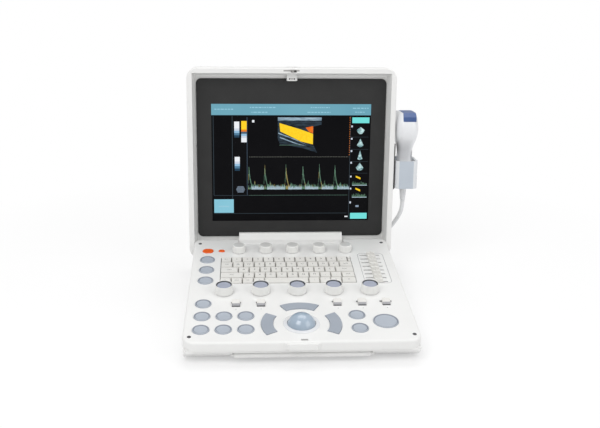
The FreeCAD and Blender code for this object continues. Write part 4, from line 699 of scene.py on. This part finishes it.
def dress_side_column(sheet, colours, chance):
    """A strip of thumbnails between two buttons."""
    add_patch(sheet, 0.884, 0.992, 0.112, 0.160, colours["cyan"], 2)
    add_patch(sheet, 0.884, 0.992, 0.936, 0.988, colours["cyan"], 2)
    add_patch(sheet, 0.848, 0.868, 0.962, 0.972, colours["white"], 2)
    add_patch(sheet, 0.872, 0.8745, 0.10, 0.99, colours["line"])
    for down, radius, spread in ((0.225, 0.036, 66), (0.330, 0.042, 40), (0.435, 0.048, 26),
                                 (0.535, 0.040, 52)):
        add_fan(sheet, 0.938, down, radius, spread, colours["echo"])
        add_patch(sheet, 0.878, 0.888, down - 0.045, down - 0.030, colours["grey_1"], 2)
        add_patch(sheet, 0.880, 0.990, down + 0.052, down + 0.054, colours["line"], 2)
    for down in (0.630, 0.735):
        add_shape(sheet, [(0.915, down - 0.020), (0.945, down - 0.004), (0.945, down + 0.012),
                          (0.915, down - 0.006)][::-1], colours["yellow"], 3)
        add_patch(sheet, 0.878, 0.888, down - 0.020, down - 0.006, colours["grey_1"], 2)
        for step in range(22):
            across = 0.893 + 0.0043 * step
            height = 0.008 + 0.028 * chance.random()
            add_patch(sheet, across, across + 0.003, down + 0.062 - height, down + 0.066, colours["trace"], 2)
        add_patch(sheet, 0.893, 0.988, down + 0.060, down + 0.066, colours["noise"], 3)
    add_patch(sheet, 0.878, 0.888, 0.835, 0.852, colours["grey_1"], 2)
    add_patch(sheet, 0.918, 0.938, 0.868, 0.884, colours["grey_2"], 2)


# ---------------------------------------------------------------- Probe, cup and cord
BRACKET_DEPTH, PANEL_HALF, PANEL_SHIFT = 1.9 * MM, 11 * MM, 0.5 * MM


def dress_probe():
    """The cup's edges are pale, its front panel blue-grey and its bracket dark."""
    low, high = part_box("probe_holder")
    middle = (low.x + high.x) / 2 + PANEL_SHIFT
    paint("probe_holder", cup_edge, cup_blue, dark)
    for face in nodes["probe_holder"].data.polygons:
        if face.center.x < low.x + BRACKET_DEPTH:
            face.material_index = 2
        elif abs(face.center.x - middle) < PANEL_HALF and face.normal.y < -0.5:
            face.material_index = 1


CORD_DIAMETER = 6.5 * MM
PROBE_X, PROBE_MIDDLE, RELIEF_END = 178.4, 32.0, 70.0
CORD_ROUTE = [(174.65, 38.0, 88.0), (167.15, 46.0, 71.0), (158.15, 56.0, 54.0), (148.65, 66.0, 39.0),
              (139.15, 76.5, 27.0), (129.15, 87.5, 18.5), (117.65, 98.5, 16.1), (109.15, 112.0, 16.1)]
COIL_CENTRE = (70.0, 128.0)
COIL_RINGS = ((36.0, 2), (42.5, 2), (42.5, 1), (36.0, 1), (29.5, 1), (29.5, 0), (36.0, 0), (42.5, 0))
COIL_SIDES, LAST_SIDES, COIL_START, COIL_CHANGE = 16, 5, -8, 0.6
COIL_FOOT, COIL_LAYER = 3.25, 6.4
CORD_START = 13
CORD_TAIL = [(64.0, 170.5, 3.3), (53.0, 170.5, 4.4), (42.0, 170.5, 5.5), (34.0, 170.5, 5.5)]


def coil_points():
    """The turns of the coil, from its top layer down to the outermost turn on the floor."""
    points = []
    for ring, (radius, level) in enumerate(COIL_RINGS):
        last = ring == len(COIL_RINGS) - 1
        next_radius, next_level = COIL_RINGS[ring if last else ring + 1]
        for step in range(LAST_SIDES if last else COIL_SIDES):
            share = step / COIL_SIDES
            change = max(0.0, (share - COIL_CHANGE) / (1 - COIL_CHANGE))
            reach = radius + (next_radius - radius) * change
            height = COIL_FOOT + (level + (next_level - level) * change) * COIL_LAYER
            angle = 2 * math.pi * share + math.radians(COIL_START)
            points.append((COIL_CENTRE[0] + reach * math.cos(angle),
                           COIL_CENTRE[1] + reach * math.sin(angle), height))
    return points


def tube_piece(name, path, radius, material, sides=12):
    """A round tube with flat ends along a path, its section carried without twist."""
    points = []
    faces = []
    side = (path[1] - path[0]).orthogonal().normalized()
    for index, place in enumerate(path):
        ahead = (path[min(index + 1, len(path) - 1)] - path[max(index - 1, 0)]).normalized()
        side = (side - ahead * side.dot(ahead)).normalized()
        other = ahead.cross(side)
        for step in range(sides):
            angle = 2 * math.pi * step / sides
            points.append(place + (side * math.cos(angle) + other * math.sin(angle)) * radius)
    for index in range(len(path) - 1):
        for step in range(sides):
            following = (step + 1) % sides
            faces.append((index * sides + step, index * sides + following,
                          (index + 1) * sides + following, (index + 1) * sides + step))
    faces.append(tuple(range(sides))[::-1])
    faces.append(tuple(range(len(points) - sides, len(points))))
    piece = add_piece(name, [point / MM for point in points], faces, material, None, Matrix.Identity(4),
                      smooth=True)
    piece.data.polygons[-1].use_smooth = False
    piece.data.polygons[-2].use_smooth = False
    return piece


def dress_cord():
    """The probe's cord: from its strain relief down behind the scanner, into a coil and its plug."""
    exit_point = LID @ (Vector((PROBE_X, PROBE_MIDDLE, RELIEF_END)) * MM)
    down = LID.to_3x3() @ Vector((0, 0, -1))
    floor_origin = Vector((deck_origin.x, deck_origin.y, 0))
    points = [exit_point, exit_point + down * CORD_START * MM]
    points += [floor_origin + Vector(point) * MM for point in CORD_ROUTE + coil_points() + CORD_TAIL]
    curve = bpy.data.curves.new("probe_cord_line", "CURVE")
    curve.dimensions = "3D"
    spline = curve.splines.new("NURBS")
    spline.points.add(len(points) - 1)
    for point, place in zip(spline.points, points):
        point.co = (*place, 1)
    spline.order_u = 3
    spline.use_endpoint_u = True
    spline.resolution_u = 5
    line = bpy.data.objects.new("probe_cord_line", curve)
    path = [vertex.co.copy() for vertex in bpy.data.meshes.new_from_object(line).vertices]
    bpy.data.objects.remove(line)
    cord = tube_piece("probe_cord_lay", path, CORD_DIAMETER / 2, cord_white)
    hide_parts("probe_cord", "cord_coil")
    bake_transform(cord)


# ---------------------------------------------------------------- Stage
CAMERA_PLACE = Vector((-69.1, -1154.5, 437.1)) * MM
CAMERA_PITCH, CAMERA_YAW, CAMERA_ROLL = 16.85, 3.155, 0.718
LENS, SENSOR_WIDTH = 47.49, 36
SHIFT = (0.01925, -0.0402)


def place_camera():
    camera = bpy.data.cameras.new("camera")
    camera.lens = LENS
    camera.sensor_width = SENSOR_WIDTH
    camera.shift_x, camera.shift_y = SHIFT
    camera.clip_end = 20
    holder = bpy.data.objects.new("camera", camera)
    pitch, yaw, roll = (math.radians(angle) for angle in (CAMERA_PITCH, CAMERA_YAW, CAMERA_ROLL))
    ahead = Vector((math.sin(yaw) * math.cos(pitch), math.cos(yaw) * math.cos(pitch), -math.sin(pitch)))
    right = Vector((math.cos(yaw), -math.sin(yaw), 0))
    up = right.cross(ahead)
    level_right = right * math.cos(roll) + up * math.sin(roll)
    level_up = up * math.cos(roll) - right * math.sin(roll)
    turn = Matrix((level_right, level_up, -ahead)).transposed().to_4x4()
    holder.matrix_world = Matrix.Translation(deck_origin + CAMERA_PLACE) @ turn
    bpy.context.scene.collection.objects.link(holder)
    bpy.context.scene.camera = holder


def add_area(name, place, target, size, power):
    light = bpy.data.lights.new(name, "AREA")
    light.shape = "RECTANGLE"
    light.size, light.size_y = size
    light.energy = power
    holder = bpy.data.objects.new(name, light)
    holder.location = place
    holder.rotation_euler = (Vector(target) - Vector(place)).to_track_quat("-Z", "Y").to_euler()
    bpy.context.scene.collection.objects.link(holder)


FLOOR_HALF = 6
FLOOR_FADE = (("From Min", 0.22), ("From Max", 0.75), ("To Min", 0.45), ("To Max", 1.0))
WORLD_LIGHT = 0.55
WHITE = (1, 1, 1, 1)
LAMPS = (("key_light", (-0.9, -1.1, 1.7), (0, 0, 0.05), (1.2, 1.2), 17),
         ("fill_light", (1.4, -0.9, 1.1), (0, 0, 0.1), (1.2, 1.2), 8),
         ("top_light", (0.1, 0.5, 1.8), (0, 0, 0.1), (1.6, 1.0), 11))


def floor_material():
    """A pale floor that keeps the object's shadow, and shows white further out."""
    material, tree, links = new_material("floor_white")
    shader = tree["Principled BSDF"]
    tone, _ = vary(tree, links, (0.90, 0.90, 0.90), (0.89, 0.89, 0.89), 2, 2)
    links.new(tone, shader.inputs["Base Color"])
    shader.inputs["Roughness"].default_value = 0.7
    seen = tree.new("ShaderNodeEmission")
    seen.inputs["Color"].default_value = WHITE
    seen.inputs["Strength"].default_value = 1.0
    place = tree.new("ShaderNodeTexCoord")
    reach = tree.new("ShaderNodeVectorMath")
    reach.operation = "LENGTH"
    links.new(place.outputs["Object"], reach.inputs[0])
    fade = tree.new("ShaderNodeMapRange")
    for socket, value in FLOOR_FADE:
        fade.inputs[socket].default_value = value
    links.new(reach.outputs["Value"], fade.inputs["Value"])
    paths = tree.new("ShaderNodeLightPath")
    rays = tree.new("ShaderNodeMath")
    rays.operation = "MAXIMUM"
    links.new(paths.outputs["Is Camera Ray"], rays.inputs[0])
    links.new(paths.outputs["Is Glossy Ray"], rays.inputs[1])
    share = tree.new("ShaderNodeMath")
    share.operation = "MULTIPLY"
    links.new(rays.outputs["Value"], share.inputs[0])
    links.new(fade.outputs["Result"], share.inputs[1])
    mix = tree.new("ShaderNodeMixShader")
    links.new(share.outputs["Value"], mix.inputs["Fac"])
    links.new(shader.outputs["BSDF"], mix.inputs[1])
    links.new(seen.outputs["Emission"], mix.inputs[2])
    links.new(mix.outputs["Shader"], tree["Material Output"].inputs["Surface"])
    return material


def build_floor():
    mesh = bpy.data.meshes.new("floor")
    corners = [(-FLOOR_HALF, -FLOOR_HALF, 0), (FLOOR_HALF, -FLOOR_HALF, 0),
               (FLOOR_HALF, FLOOR_HALF, 0), (-FLOOR_HALF, FLOOR_HALF, 0)]
    mesh.from_pydata(corners, [], [(0, 1, 2, 3)])
    mesh.materials.append(floor_material())
    floor = bpy.data.objects.new("floor", mesh)
    bpy.context.scene.collection.objects.link(floor)


def build_world():
    """Even light from all round, and plain white where the camera sees past the floor."""
    world = bpy.data.worlds.new("studio")
    bpy.context.scene.world = world
    world.use_nodes = True
    tree = world.node_tree.nodes
    links = world.node_tree.links
    background = tree["Background"]
    background.inputs["Color"].default_value = WHITE
    background.inputs["Strength"].default_value = WORLD_LIGHT
    seen = tree.new("ShaderNodeBackground")
    seen.inputs["Color"].default_value = WHITE
    seen.inputs["Strength"].default_value = 1.0
    paths = tree.new("ShaderNodeLightPath")
    mix = tree.new("ShaderNodeMixShader")
    links.new(paths.outputs["Is Camera Ray"], mix.inputs["Fac"])
    links.new(background.outputs["Background"], mix.inputs[1])
    links.new(seen.outputs["Background"], mix.inputs[2])
    links.new(mix.outputs["Shader"], tree["World Output"].inputs["Surface"])


def build_stage():
    build_floor()
    build_world()
    for lamp in LAMPS:
        add_area(*lamp)
    bpy.context.scene.view_settings.view_transform = "Standard"


# ---------------------------------------------------------------- Build
paint_cad()
dress_keys()
dress_dials()
dress_toggles()
dress_keyboard()
dress_deck()
dress_latch()
dress_screen()
dress_probe()
dress_cord()
place_camera()
build_stage()
